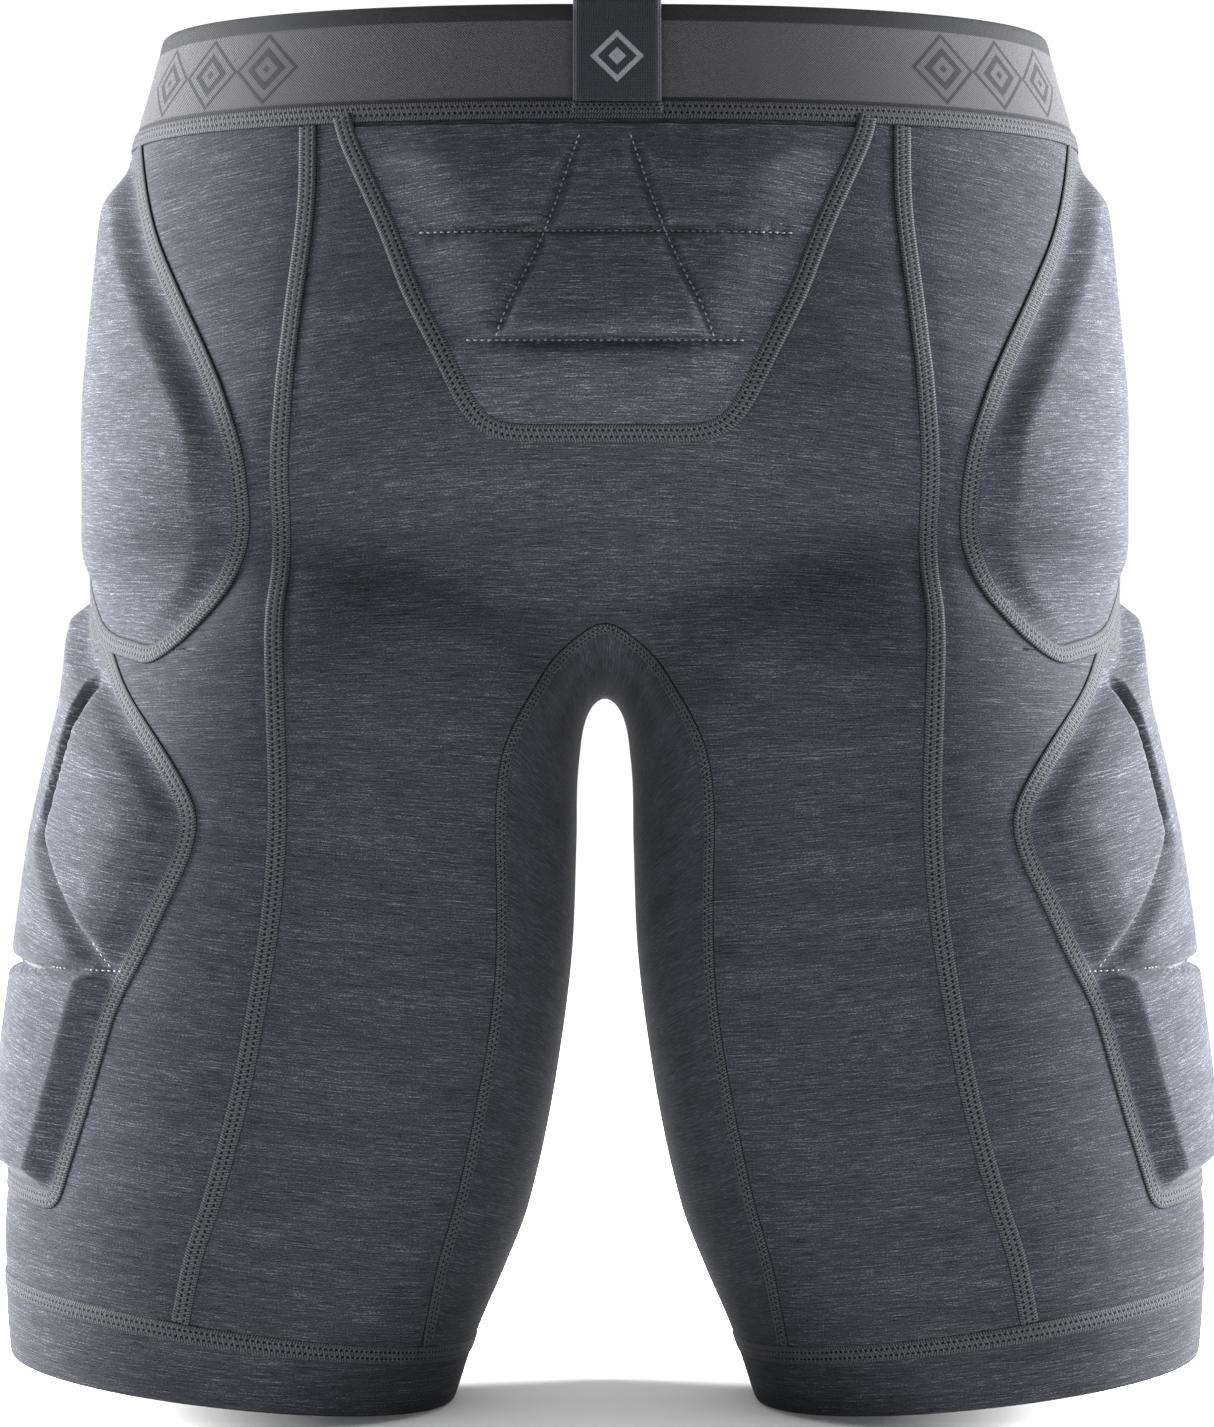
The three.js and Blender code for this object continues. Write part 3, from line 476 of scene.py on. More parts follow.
# ---- finishes
class Signal:
    """A number carried by a node socket. Plain arithmetic on it adds the nodes."""

    def __init__(self, finish, socket):
        self.finish, self.socket = finish, socket

    def step(self, operation, *others):
        node = self.finish.node("ShaderNodeMath")
        node.operation = operation
        for socket, value in zip(node.inputs, (self, *others)):
            self.finish.put(socket, value)
        return Signal(self.finish, node.outputs[0])

    __add__ = partialmethod(step, "ADD")
    __sub__ = partialmethod(step, "SUBTRACT")
    __mul__ = partialmethod(step, "MULTIPLY")
    __truediv__ = partialmethod(step, "DIVIDE")
    __abs__ = partialmethod(step, "ABSOLUTE")
    top = partialmethod(step, "MAXIMUM")

    def part(self, pitch=1.0):
        """How far through each repeat, from -0.5 to 0.5."""
        return (self / pitch).step("FRACT") - 0.5

    def span(self, low, high, to_low=0.0, to_high=1.0):
        node = self.finish.node("ShaderNodeMapRange")
        node.interpolation_type = "SMOOTHSTEP"
        self.finish.put(node.inputs[0], self)
        for k, number in enumerate((low, high, to_low, to_high), 1):
            node.inputs[k].default_value = number
        return Signal(self.finish, node.outputs[0])

    def below(self, low, high):
        return self.span(low, high, 1.0, 0.0)


def tint(code):
    """A colour given as six hex digits, as linear numbers with full cover."""
    parts = [int(code[k:k + 2], 16) / 255 for k in (0, 2, 4)]
    return (*(c / 12.92 if c <= 0.04045 else ((c + 0.055) / 1.055) ** 2.4 for c in parts), 1)


class Finish:
    """A node material built in plain steps. u and v are cloth millimetres."""

    def __init__(self, name, roughness, gloss, sheen=0.0, sheen_roughness=0.5):
        self.material = bpy.data.materials.new(name)
        self.material.use_nodes = True
        self.tree = self.material.node_tree
        self.shader = self.tree.nodes["Principled BSDF"].inputs
        for socket, value in (("Roughness", roughness), ("Specular IOR Level", gloss),
                              ("Sheen Weight", sheen), ("Sheen Roughness", sheen_roughness)):
            self.shader[socket].default_value = value
        weave_map = self.node("ShaderNodeUVMap")
        weave_map.uv_map = "weave"
        split = self.node("ShaderNodeSeparateXYZ")
        self.tree.links.new(weave_map.outputs[0], split.inputs[0])
        self.u, self.v = (Signal(self, split.outputs[k]) * 1000 for k in (0, 1))

    def node(self, kind):
        return self.tree.nodes.new(kind)

    def put(self, socket, value):
        if isinstance(value, Signal):
            self.tree.links.new(value.socket, socket)
        else:
            socket.default_value = tint(value) if isinstance(value, str) else value

    def noise(self, across, up, detail=1.0, roughness=0.5, shift=0.0):
        """Noise with features this many millimetres wide and high."""
        join = self.node("ShaderNodeCombineXYZ")
        self.put(join.inputs[0], self.u * (1 / across) + shift)
        self.put(join.inputs[1], self.v * (1 / up) + shift * 1.7)
        join.inputs[2].default_value = shift
        node = self.node("ShaderNodeTexNoise")
        for socket, value in (("Scale", 1.0), ("Detail", detail), ("Roughness", roughness)):
            node.inputs[socket].default_value = value
        self.tree.links.new(join.outputs[0], node.inputs["Vector"])
        return Signal(self, node.outputs[0])

    def mix(self, share, a, b):
        node = self.node("ShaderNodeMix")
        node.data_type = "RGBA"
        for k, value in ((0, share), (6, a), (7, b)):
            self.put(node.inputs[k], value)
        return Signal(self, node.outputs[2])

    def done(self, colour, height, depth, strength):
        """Colour and relief put on the shader. depth is the height of the relief in metres."""
        self.put(self.shader["Base Color"], colour)
        node = self.node("ShaderNodeBump")
        node.inputs["Strength"].default_value = strength
        node.inputs["Distance"].default_value = depth
        self.put(node.inputs["Height"], height)
        self.tree.links.new(node.outputs[0], self.shader["Normal"])
        return self.material


def heather_knit(name, dark, middle, light):
    """Melange jersey: long thin streaks across, with pale and dark fibres through them."""
    f = Finish(name, 0.9, 0.035, sheen=0.03, sheen_roughness=0.35)
    long_streak = f.noise(15, 0.62, 3.0, 0.62)
    short_streak = f.noise(4.5, 0.42, 2.0, 0.6, 31.0)
    broad = f.noise(60, 9, 2.0, 0.5, 63.0)
    fibre = f.noise(0.62, 0.4, shift=11.0)
    tone = ((long_streak - 0.5) * 0.95 + (short_streak - 0.5) * 0.85
            + (broad - 0.5) * 0.3 + (fibre - 0.5))
    shade = f.mix(tone.span(-0.42, 0.04), dark, middle)
    rib = (f.v * (2 * math.pi / 0.9)).step("SINE")
    return f.done(f.mix(tone.span(0.04, 0.5), shade, light),
                  rib * 0.12 + (fibre * 0.8 + short_streak), 0.0002, 0.7)


def flatlock(name, base, pale, recess_shade):
    """Seam of cover threads: two rows of needle holes, slanting rungs and looped edges, with
    painted shade in the holes, between the threads and along the seam's edges.
    """
    f = Finish(name, 0.75, 0.05)
    pitch = 1.85
    out = abs(f.u)
    run = f.v / pitch
    side = f.u.step("GREATER_THAN", 0.0)
    step = (side * 0.5 + run).part() * (pitch / 0.5)
    away = (out - 1.15) / 0.42
    # needle holes: painted shade, mixed towards near black and sunk in the relief
    holes = (away * away + step * step).below(0.75, 1.6)
    # loops and rungs: painted shade in the gaps between the cover threads, mixed towards near
    # black and sunk in the relief
    loops = abs((out * 0.35 + run * 2).part()).span(0.22, 0.46) * abs(out - 2.45).below(0.5, 1.0)
    rungs = abs((f.u * 0.42 + run * 2).part()).span(0.26, 0.48) * out.below(0.75, 1.2)
    fibre = f.noise(0.35, 1.6, shift=5.0)
    shade = f.mix(fibre.span(0.3, 0.7), base, pale)
    # mixes in the painted shade: the holes, the thread gaps and a dark rim where the seam's edges
    # dip into the cloth
    for share in (rungs * 0.6, loops * 0.85, holes, out.span(2.85, 3.2, 0.0, 0.8)):
        shade = f.mix(share, shade, recess_shade)
    return f.done(shade, fibre * 0.15 - holes.top(rungs.top(loops) * 0.6), 0.0005, 0.9)


def elastic_band(name, centre, centre_dark, border):
    """Woven elastic: diagonal twill, dark borders and panels of a plain geometric weave."""
    f = Finish(name, 0.8, 0.05)
    twill = abs((f.u + f.v).part(0.9)).span(0.1, 0.42)
    grain = f.noise(1.4, 0.5, shift=3.0)
    field = f.mix(grain * 0.3 + twill * 0.7, centre_dark, centre)
    # heights over the waist seam: dark line at the bottom, dark border at the top
    borders = f.v.below(4.2, 4.8).top(f.v.span(30.2, 30.8))
    # woven panels of nested diamonds left and right of the centre back
    place = abs(f.u)
    panel = place.span(104, 104.6) * place.below(178, 178.6)
    diamond = abs((place - 104.3).part(24.6)) + abs((f.v - 17.5) / 24.6)
    motif = panel * abs(diamond.part(0.25)).span(0.2, 0.3) * diamond.below(0.5, 0.52)
    ribs = (f.v / 0.8).step("FRACT").span(0.0, 1.0)
    dark_cloth = f.mix(ribs * 0.5, border, centre_dark)
    return f.done(f.mix(borders.top(motif), field, dark_cloth), twill * 0.6 + grain, 0.00025, 0.7)


def loop_webbing(name, dark, pale, mark):
    """Close black webbing with a small woven diamond."""
    f = Finish(name, 0.75, 0.08)
    relief = abs(f.u.part(0.8)) * 1.2 + abs(f.v.part(0.6))
    shade = f.mix(relief.span(0.1, 0.9), dark, pale)
    diamond = abs(f.u / 9.0) + abs((f.v - 15.0) / 9.0)
    woven = abs(diamond - 0.85).below(0.1, 0.16).top(diamond.below(0.3, 0.36))
    return f.done(f.mix(woven * 0.85, shade, mark), relief, 0.00025, 0.7)


def foam_finish(name, base, pale):
    f = Finish(name, 0.95, 0.15)
    cells = f.noise(0.9, 0.9, 2.0, 0.6, 2.0)
    return f.done(f.mix(cells.span(0.35, 0.7), base, pale), cells, 0.0004, 0.8)


def lining_finish(name, base, recess_shade):
    """Open mesh lining: rows of small round holes, with painted shade in them."""
    f = Finish(name, 0.85, 0.2, sheen=0.1)
    row = (f.v / 1.6).step("FLOOR")
    across, up = (row * 0.5 + f.u / 1.8).part(), f.v.part(1.6)
    far = (across * across + up * up).step("SQRT")
    # the holes are painted shade: mixed towards near black and sunk in the relief
    return f.done(f.mix(far.below(0.2, 0.32), base, recess_shade), far, 0.0003, 0.8)


def stitch_thread(name, dark, pale):
    f = Finish(name, 0.55, 0.35, sheen=0.1)
    ply = f.noise(0.3, 0.3, shift=7.0)
    return f.done(f.mix(ply.span(0.3, 0.7), dark, pale), ply, 0.0002, 0.6)


KNIT = heather_knit("body_knit", "0b0b0e", "1b1c20", "3b3c43")
PAD_KNIT = heather_knit("pad_knit", "0f0f12", "212227", "484a51")
# the last colour is painted shade, near black, for the needle holes, the thread gaps and the seam
# edges
SEAM = flatlock("seam_thread", "1f2023", "2d2e32", "030304")
BAND_WEAVE = elastic_band("elastic", "343436", "161618", "101113")
LOOP_WEAVE = loop_webbing("webbing", "0d0e11", "1b1c21", "55565a")
FOAM = foam_finish("foam", "2a2a2e", "3c3c41")
# the second colour is painted shade for the mesh holes
LINING_MESH = lining_finish("lining", "303138", "0d0d10")
QUILT_THREAD = stitch_thread("quilting_thread", "3a3c40", "5a5c61")


# ---- lines of the right-hand half
class Half:
    """All edge lines of the back (-1) or front (1) of the right-hand half."""

    def __init__(self, facing):
        self.princess = princess_line(facing)
        self.gusset = gusset_line(facing)
        self.hip = hip_edge(facing)
        self.notch = notch_line(facing)
        fork = int(np.argmin(np.abs(self.notch[:, 0] - NOTCH_FORK)))
        self.under_hip, self.over_thigh = self.notch[:fork + 1], self.notch[fork:]
        self.thigh = thigh_edge(facing, self.notch[fork])
        self.bottom = thigh_bottom(facing)
        self.waist = waist_run(facing)
        self.hem = hem_run(facing, self.princess[-1])
        face = on_face(facing, [(x, WAIST_Z) for x in np.linspace(0, 97.5, 12)])
        self.waist_centre = spline(face, 8)


BACK, FRONT = Half(-1), Half(1)
INNER = inner_leg_line()
WAIST_ROWS, UPPER_ROWS, LOWER_ROWS = 36, 72, 96


def gusset_shares():
    at = np.arange(WAIST_ROWS + UPPER_ROWS + LOWER_ROWS + 1, dtype=float)
    a, b, c = WAIST_ROWS, WAIST_ROWS + UPPER_ROWS, WAIST_ROWS + UPPER_ROWS + LOWER_ROWS * 0.2
    return np.interp(at, [0, a, b, c, at[-1]], [0, 0.1, 0.2, 0.28, 1])


def nearest(points, lines, count=90):
    return np.minimum.reduce([off_line(points, spread(line, count)) for line in lines])


def sunk_at_edges(grid, lines, depth=0.35, reach=7.0):
    """Height of a panel's outside, drawn down a little beside its seams."""
    return CLOTH_HIGH - depth * (1 - clear((nearest(grid[0], lines) - 2.5) / reach))


def body_panels():
    for name, half in (("back_panel", BACK), ("front_panel", FRONT)):
        at = np.concatenate([np.linspace(0, 0.44, UPPER_ROWS + 1),
                             np.linspace(0.44, 1, LOWER_ROWS + 1)[1:]])
        outer = np.vstack([spread(half.waist_centre, WAIST_ROWS + 1)[:-1],
                           spread(half.princess, at=at)])
        right = ruled(outer, spread(half.gusset, at=gusset_shares()), np.linspace(0, 1, 58))
        whole = mirrored_whole(right)
        both = [half.princess, half.gusset]
        both += [line * MIRROR for line in both]
        high = sunk_at_edges(whole, both)
        cloth(name, whole, CLOTH_LOW, high, weave(whole[0]), KNIT)


def side_panels():
    halves = []
    for half in (BACK, FRONT):
        princess = spread(half.princess, at=np.concatenate(
            [np.linspace(0, 0.44, 80), np.linspace(0.44, 0.475, 13)[1:],
             np.linspace(0.475, 1, 88)[1:]]))
        outer = np.vstack([princess, spread(half.hem, 56)[1:]])
        inner = np.vstack([spread(half.hip, 80), spread(half.under_hip, 13)[1:],
                           spread(half.thigh, 88)[1:], spread(half.bottom, 56)[1:]])
        halves.append(ruled(outer, inner, np.linspace(0, 1, 26)))
    whole = tuple(np.concatenate([a, b[::-1][1:]]) for a, b in zip(*halves))
    high = sunk_at_edges(whole, [line for half in (BACK, FRONT) for line in (
        half.princess, half.bottom, half.hip, half.thigh)])
    for side, grid in both_sides(whole):
        cloth("side_panel_" + side, grid, CLOTH_LOW, high, weave(grid[0]), KNIT)


def gusset():
    back, front = (spread(h.gusset, at=gusset_shares()) for h in (BACK, FRONT))
    middle = spread(INNER, at=gusset_shares())
    shares = np.linspace(0, 1, 24)
    whole = mirrored_whole(joined(ruled(back, middle, shares), ruled(front, middle, shares)))
    p = whole[0]
    run = np.cumsum(np.linalg.norm(np.diff(p, axis=1, prepend=p[:, :1]), axis=2), axis=1)
    along = np.cumsum(np.linalg.norm(np.diff(p[:, :1], axis=0, prepend=p[:1, :1]), axis=2), axis=0)
    uv = np.stack([run, np.broadcast_to(along, run.shape)], -1) / 1000
    lines = [BACK.gusset, FRONT.gusset, BACK.gusset * MIRROR, FRONT.gusset * MIRROR]
    high = sunk_at_edges(whole, lines, 0.3, 5.0)
    inset = clear((nearest(p, lines) - 4) / 16) * clear((p[..., 2] - 60) / 70)
    high = high - 1.6 * inset
    cloth("gusset", whole, high - 1.4, high, uv, KNIT)


# ---- pads
def hip_grid(rows=112, columns=72):
    halves = []
    for half in (BACK, FRONT):
        waist = half.waist
        start = np.argmin(np.linalg.norm(waist - half.hip[0], axis=1))
        top = spline(np.vstack([half.hip[:1], waist[start + 12::12], SIDE_TOP]), 8)
        halves.append(filled(spread(half.hip, rows), spread(SIDE_HIP, rows),
                             spread(top, columns), spread(half.notch, columns)))
    return joined(*halves)


def thigh_grid(rows=136, columns=78):
    return joined(*(filled(spread(half.thigh, rows), spread(SIDE_THIGH, rows),
                           spread(half.over_thigh, columns), spread(half.bottom, columns))
                    for half in (BACK, FRONT)))


def from_edge(points, name):
    """Distance of points from the edge line of this name, back or front."""
    return nearest(points, [getattr(half, name) for half in (BACK, FRONT)], 110)


def hip_height(p):
    """Outside of the hip pad: one smooth rounded block."""
    side, floor = from_edge(p, "hip"), from_edge(p, "notch")
    top = WAIST_Z - p[..., 2]
    block = least(clear((side - 4.2) / 11), clear((floor - 4.2) / 12), clear((top - 8) / 16))
    crown = 1 - np.exp(-np.minimum(side, floor) / 26)
    lean = 1 - 0.5 * clear((352 - p[..., 2]) / 72)
    return COVER_LOW + ((HIP_PAD - COVER_LOW - 1.4) * block + 2.0 * crown * block) * lean


SLIT = np.array([(53.0, 277.0), (46.5, 232.0), (42.0, 197.0)])
SLANT = np.array([(42.0, 197.0), (86.0, 153.0)])
FOLD = np.array([(94.0, 153.5), (0.0, 152.5)])


def crisp(t):
    """A ramp with a straight face and only slightly rounded ends."""
    return 0.4 * clear(t) + 0.6 * np.clip(t, 0, 1)


def thigh_height(p):
    """Outside of the thigh pad: an upper block parted by a slit, a slanting and a level quilting
    line, and a lower block with a wide bevel along the back."""
    s, z = np.abs(round_leg(p)), p[..., 2]
    flat = np.stack([s, z], -1)
    edge, over, floor = (from_edge(p, name) for name in ("thigh", "notch", "bottom"))
    low_block = clear((158 - z) / 9)
    upper = clear((edge - 3.4) / 20) * 0.6 + clear((edge - 3.4) / 9) * 0.4
    lower = crisp((edge - 4.4) / 7.6)
    side = upper * (1 - low_block) + lower * low_block
    rim = least(side, crisp((floor - 4.2) / 5.5), clear((over - 9.5) / 10.0))
    slit = 1 - 0.96 * np.exp(-(off_line(flat, SLIT) / 3.1) ** 6)
    way = SLANT[1] - SLANT[0]
    inward = ((flat - SLANT[0]) @ np.array([way[1], -way[0]])) / np.linalg.norm(way)
    far = off_line(flat, SLANT)
    steep = 1 - 0.7 * np.exp(-(far / 1.5) ** 2)
    wide = 0.3 + 0.7 * crisp((far - 0.8) / 6.0)
    slant = np.where(inward < 0, steep, wide)
    slant = np.where(far > 7, 1, slant)
    level = 1 - 0.7 * np.exp(-(off_line(flat, FOLD) / 1.9) ** 2)
    level -= 0.03 * np.sin(s * 1.5) * np.exp(-off_line(flat, FOLD) / 2.6)
    crown = 0.7 * clear(np.minimum(edge, floor) / 40)
    full = (THIGH_PAD - COVER_LOW) * rim * np.minimum(np.minimum(slit, slant), level)
    return COVER_LOW + full + crown * rim * slit


def from_rim(shape):
    """Steps of a grid from its nearest rim, as a rounded 0..1 ramp."""
    r, c = (np.minimum(np.arange(count), np.arange(count)[::-1]) for count in shape)
    return np.clip(np.minimum(r[:, None], c[None, :]) / 2, 0, 1) ** 0.5


def foam(name, grid, low, top, uv):
    piece = finish_piece(sheet(name, grid, low, top, uv), FOAM, name)


def pad(kind, side, grid, high, blocks, cover_grid, lift=0.0):
    """Cover, lining and foam blocks of one pad. A block is (name, rows, columns of the grid)."""
    name = f"{kind}_pad_cover_{side}"
    cover = sheet(name, cover_grid, high - COVER_THICK + lift, high + lift,
                  weave_round(cover_grid[0]))
    finish_piece(cover, PAD_KNIT, name)
    thin = tuple(a[::3, ::3] for a in grid)
    cloth(f"{kind}_pad_lining_{side}", thin, 0, LINING, weave_round(thin[0]), LINING_MESH)
    for name, rows, columns in blocks:
        p, n = (a[rows, columns][::2, ::2] for a in grid)
        top = high[rows, columns][::2, ::2] - COVER_THICK - 0.5
        bottom = np.full(p.shape[:2], FOAM_LOW)
        top = bottom + 0.5 + (top - bottom - 0.5) * (0.55 + 0.45 * from_rim(p.shape[:2]))
        foam(f"{name}_{side}", (p, n), bottom, np.maximum(top, FOAM_LOW + 0.6), weave_round(p))


def hip_pads():
    whole = hip_grid()
    high = hip_height(whole[0])
    count, width = high.shape
    blocks = [("hip_pad_foam", slice(9, count - 9), slice(8, width - 8))]
    for side, grid in both_sides(whole):
        pad("hip", side, grid, high, blocks, grid)


def lapped(grid, by=0.5):
    """The grid with its two long edges drawn out a little over the cloth beside them."""
    p = grid[0].copy()
    p[:, 0] += unit(p[:, 0] - p[:, 1]) * by
    p[:, -1] += unit(p[:, -1] - p[:, -2]) * by
    return p, grid[1]


def thigh_pads():
    whole = thigh_grid()
    high = thigh_height(whole[0])
    count, width = high.shape
    fold = int(count * 0.56)
    slit = int(width * 0.27)
    upper = slice(12, fold - 2)
    blocks = [("thigh_foam_back", upper, slice(9, slit - 2)),
              ("thigh_foam_centre", upper, slice(slit + 1, width - slit - 1)),
              ("thigh_foam_front", upper, slice(width - slit + 2, width - 9)),
              ("thigh_foam_lower", slice(fold + 1, count - 8), slice(9, width - 9))]
    for side, grid in both_sides(whole):
        pad("thigh", side, grid, high, blocks, lapped(grid), 0.06)


# ---- tailbone pocket
TAIL_TOP = WAIST_Z - 5
tail_half_width = profile([(0, 87), (16, 79.5), (38, 70), (57, 63), (76, 53), (88, 47.5),
                           (96, 43), (101, 36)])
tail_slant = profile([(0, 7), (38, 20), (74, 36), (101, 36)])
TAIL_LEVELS = (36.5, 71.5)
TAIL_DROP = 101
FOAM_GAP = 2                        # from a foam segment to the sewn line beside it
RIM_GAP = 11                        # from the foam to the edge of the pocket


def tail_outline():
    down = np.linspace(0, TAIL_DROP, 60)
    return np.column_stack([tail_half_width(down), down])


def tail_height(x, down):
    """Outside of the pocket: seven soft segments parted by sewn channels."""
    flat = np.stack([np.abs(x), down], -1)
    edge = np.minimum(off_line(flat, tail_outline()), TAIL_DROP - down)
    rim = least(clear((edge - 3.4) / 27.0), clear((down - 1.0) / 15.0), power=2.2)
    slant = np.abs(np.abs(x) - tail_slant(down)) * 0.93
    slant = np.where(down > TAIL_LEVELS[1], 99, slant)
    inside = np.abs(x) < tail_half_width(down) - 12
    level = np.minimum(np.abs(down - TAIL_LEVELS[0]), 99)
    lower = np.abs(down - TAIL_LEVELS[1])
    sewn = np.ones_like(down)
    for gap, depth in ((slant, 0.66), (level, 0.72), (lower, 0.9)):
        sewn = np.minimum(sewn, 1 - depth * np.exp(-(gap / 2.0) ** 2) - 0.14 * np.exp(-gap / 6))
    sewn = np.where(inside, sewn, np.minimum(1, sewn + 0.25))
    pucker = 0.35 * np.sin(x * 0.42) * np.exp(-down / 9.0) * np.exp(-(x / 42) ** 2)
    for gap, along in ((slant, down), (level, x), (lower, x + 1.3)):
        pucker = pucker - 0.22 * np.sin(along * 1.45) * np.exp(-gap / 2.4) * inside
    return TAIL_LOW + (TAIL_PAD - TAIL_LOW) * rim * sewn + pucker


def tail_points(x, down):
    """Points of the form under the pocket, from its own flat coordinates."""
    flat = np.column_stack([np.ravel(x), np.zeros(np.size(x)), TAIL_TOP - np.ravel(down)])
    p = meet(1, -SIGHT[0], flat)
    return settle(p.reshape(*np.shape(x), 3))


def dashes(name, line, normals, lifts, stitch=1.3, gap=0.95, thick=0.27):
    """A row of sewn stitches: small spindles lying along a line."""
    run = lengths(line)
    starts = np.arange(gap, run[-1] - stitch, stitch + gap)
    points, faces = [], []
    ring = np.linspace(0, 2 * math.pi, 6, endpoint=False)
    for start in starts:
        ends = []
        for at in (start, start + stitch):
            ends.append([np.array([np.interp(at, run, a[:, k]) for k in range(3)])
                         for a in (line + normals * lifts[:, None], normals)])
        (a, na), (b, nb) = ends
        way = unit(b - a)
        up = unit(na + nb)
        out = np.cross(way, up)
        base = len(points)
        points.append(a - way * 0.1 - up * thick * 0.9)
        for share in (0.22, 0.78):
            centre = a * (1 - share) + b * share
            points += [centre + thick * (math.cos(t) * out + math.sin(t) * up) for t in ring]
        points.append(b + way * 0.1 - up * thick * 0.9)
        tip = base + 13
        for k in range(6):
            m = (k + 1) % 6
            faces.append((base, base + 1 + m, base + 1 + k))
            faces.append((base + 1 + k, base + 1 + m, base + 7 + m, base + 7 + k))
            faces.append((base + 7 + k, base + 7 + m, tip))
    points = np.array(points)
    uv = placed(points)[:, [0, 2]][np.concatenate(faces)]
    piece = mesh_from(name, points, faces, uv, len(faces))
    return finish_piece(piece, QUILT_THREAD)


def tailbone():
    down = np.linspace(0, TAIL_DROP, 84)
    x = tail_half_width(down)[:, None] * np.linspace(-1, 1, 141)[None, :]
    d = np.broadcast_to(down[:, None], x.shape)
    grid = tail_points(x, d)
    high = tail_height(x, d)
    cloth("tailbone_cover", grid, high - COVER_THICK, high, weave(grid[0]), PAD_KNIT)

    # foam segments between the sewn channels
    for level, above, below in (("upper", RIM_GAP, TAIL_LEVELS[0] - FOAM_GAP),
                                ("middle", TAIL_LEVELS[0] + FOAM_GAP, TAIL_LEVELS[1] - FOAM_GAP)):
        rows = np.linspace(above, below, 14)
        inner, reach = tail_slant(rows) + 2.5, tail_half_width(rows) - RIM_GAP
        middle = tail_slant(rows) - 2.5
        for side, a, b in (("l", -inner, -reach), ("c", -middle, middle), ("r", inner, reach)):
            across = a[:, None] + (b - a)[:, None] * np.linspace(0, 1, 16)[None, :]
            tail_foam(f"tailbone_foam_{level}_{side}", across, rows)
    rows = np.linspace(TAIL_LEVELS[1] + FOAM_GAP, 91, 12)
    reach = tail_half_width(rows) - RIM_GAP
    tail_foam("tailbone_foam_bottom", reach[:, None] * np.linspace(-1, 1, 30)[None, :], rows)

    for side, sign in (("r", 1), ("l", -1)):
        rows = np.linspace(3, TAIL_LEVELS[1], 60)
        tail_stitches("tailbone_quilting_slant_" + side, sign * tail_slant(rows), rows)
    for place, level in zip(("upper", "lower"), TAIL_LEVELS):
        reach = tail_half_width(level) - 10
        across = np.linspace(-reach, reach, 90)
        tail_stitches("tailbone_quilting_" + place, across, np.full(90, level))


def tail_foam(name, across, rows):
    d = np.broadcast_to(rows[:, None], across.shape)
    grid = tail_points(across, d)
    top = tail_height(across, d) - COVER_THICK - 0.4
    top = 2.2 + np.maximum(top - 2.2, 0.8) * (0.5 + 0.5 * from_rim(across.shape))
    foam(name, grid, 2.0, np.maximum(top, 2.6), weave(grid[0]))


def tail_stitches(name, across, down):
    p, n = tail_points(across, down)
    dashes(name, p, n, tail_height(across, down) + 0.25)


def thigh_stitches():
    """Dashed quilting lines of the thigh pads, back and front alike."""
    for facing, place in ((1, "back"), (-1, "front")):
        for kind, line, count in (("slant", SLANT, 30), ("level", FOLD, 50)):
            t = np.linspace(0.02, 0.97, count)[:, None]
            flat = line[0] * (1 - t) + line[1] * t
            s, z = flat[:, 0] * facing / 93, flat[:, 1]
            depth = leg_back_depth(z) if facing > 0 else leg_front_depth(z)
            start = np.column_stack([leg_centre(z) + leg_half_width(z) * np.cos(s),
                                     -depth * np.sin(s), z])
            p, n = settle(start)
            lift = thigh_height(p) + 0.25
            for side, (q, m) in both_sides((p, n)):
                dashes(f"thigh_quilting_{kind}_{place}_{side}", q, m, lift)


# ---- seams
SEAM_ACROSS = np.array([-3.25, -2.9, -2.3, -1.7, -1.15, -0.6, 0.0, 0.6, 1.15, 1.7, 2.3, 2.9, 3.25])
SEAM_RELIEF = np.array([-0.25, 0.3, 0.6, 0.66, 0.5, 0.7, 0.72, 0.7, 0.5, 0.66, 0.6, 0.3,
                        -0.25])


def ribbon(name, line, base, closed=False, width=1.0):
    """A flat seam laid along a line on the form. base is its height over the form."""
    if closed:
        line = tuple(np.vstack([a, a[:1]]) for a in line)
    run = lengths(line[0])
    count = max(int(run[-1] / SEAM_STEP), 8)
    want = np.linspace(0, run[-1], count + 1)[:-1] if closed else np.linspace(0, run[-1], count)
    points, normals = (np.column_stack([np.interp(want, run, a[:, k]) for k in range(3)])
                       for a in line)
    ahead, behind = np.roll(points, -1, axis=0), np.roll(points, 1, axis=0)
    if not closed:
        ahead[-1], behind[0] = points[-1], points[0]
    normals = unit(normals)
    out = unit(np.cross(normals, unit(ahead - behind)))
    grid = points[None] + out[None] * (SEAM_ACROSS * width)[:, None, None]
    shape = grid.shape[:2]
    high = np.broadcast_to((base + SEAM_RELIEF * SEAM_LIFT / 0.85)[:, None], shape)
    along = np.append(want, run[-1]) if closed else want
    uv = np.stack(np.broadcast_arrays(SEAM_ACROSS[:, None], along[None, :]), -1)
    piece = sheet(name, (grid, np.broadcast_to(normals, grid.shape)),
                  np.minimum(base - 0.45, high - 0.1), high, uv / 1000, ring=closed)
    finish_piece(piece, SEAM, *({name} & set(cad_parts)))


def softened(points, rounds=5, closed=False):
    """The same line with its corners rounded a little."""
    p = points.copy()
    for _ in range(rounds):
        if closed:
            p = (np.roll(p, 1, axis=0) + 2 * p + np.roll(p, -1, axis=0)) / 4
        else:
            p[1:-1] = (p[:-2] + 2 * p[1:-1] + p[2:]) / 4
    return p


def even_line(points, step=2.0):
    return spread(points, max(int(lengths(points)[-1] / step), 6))


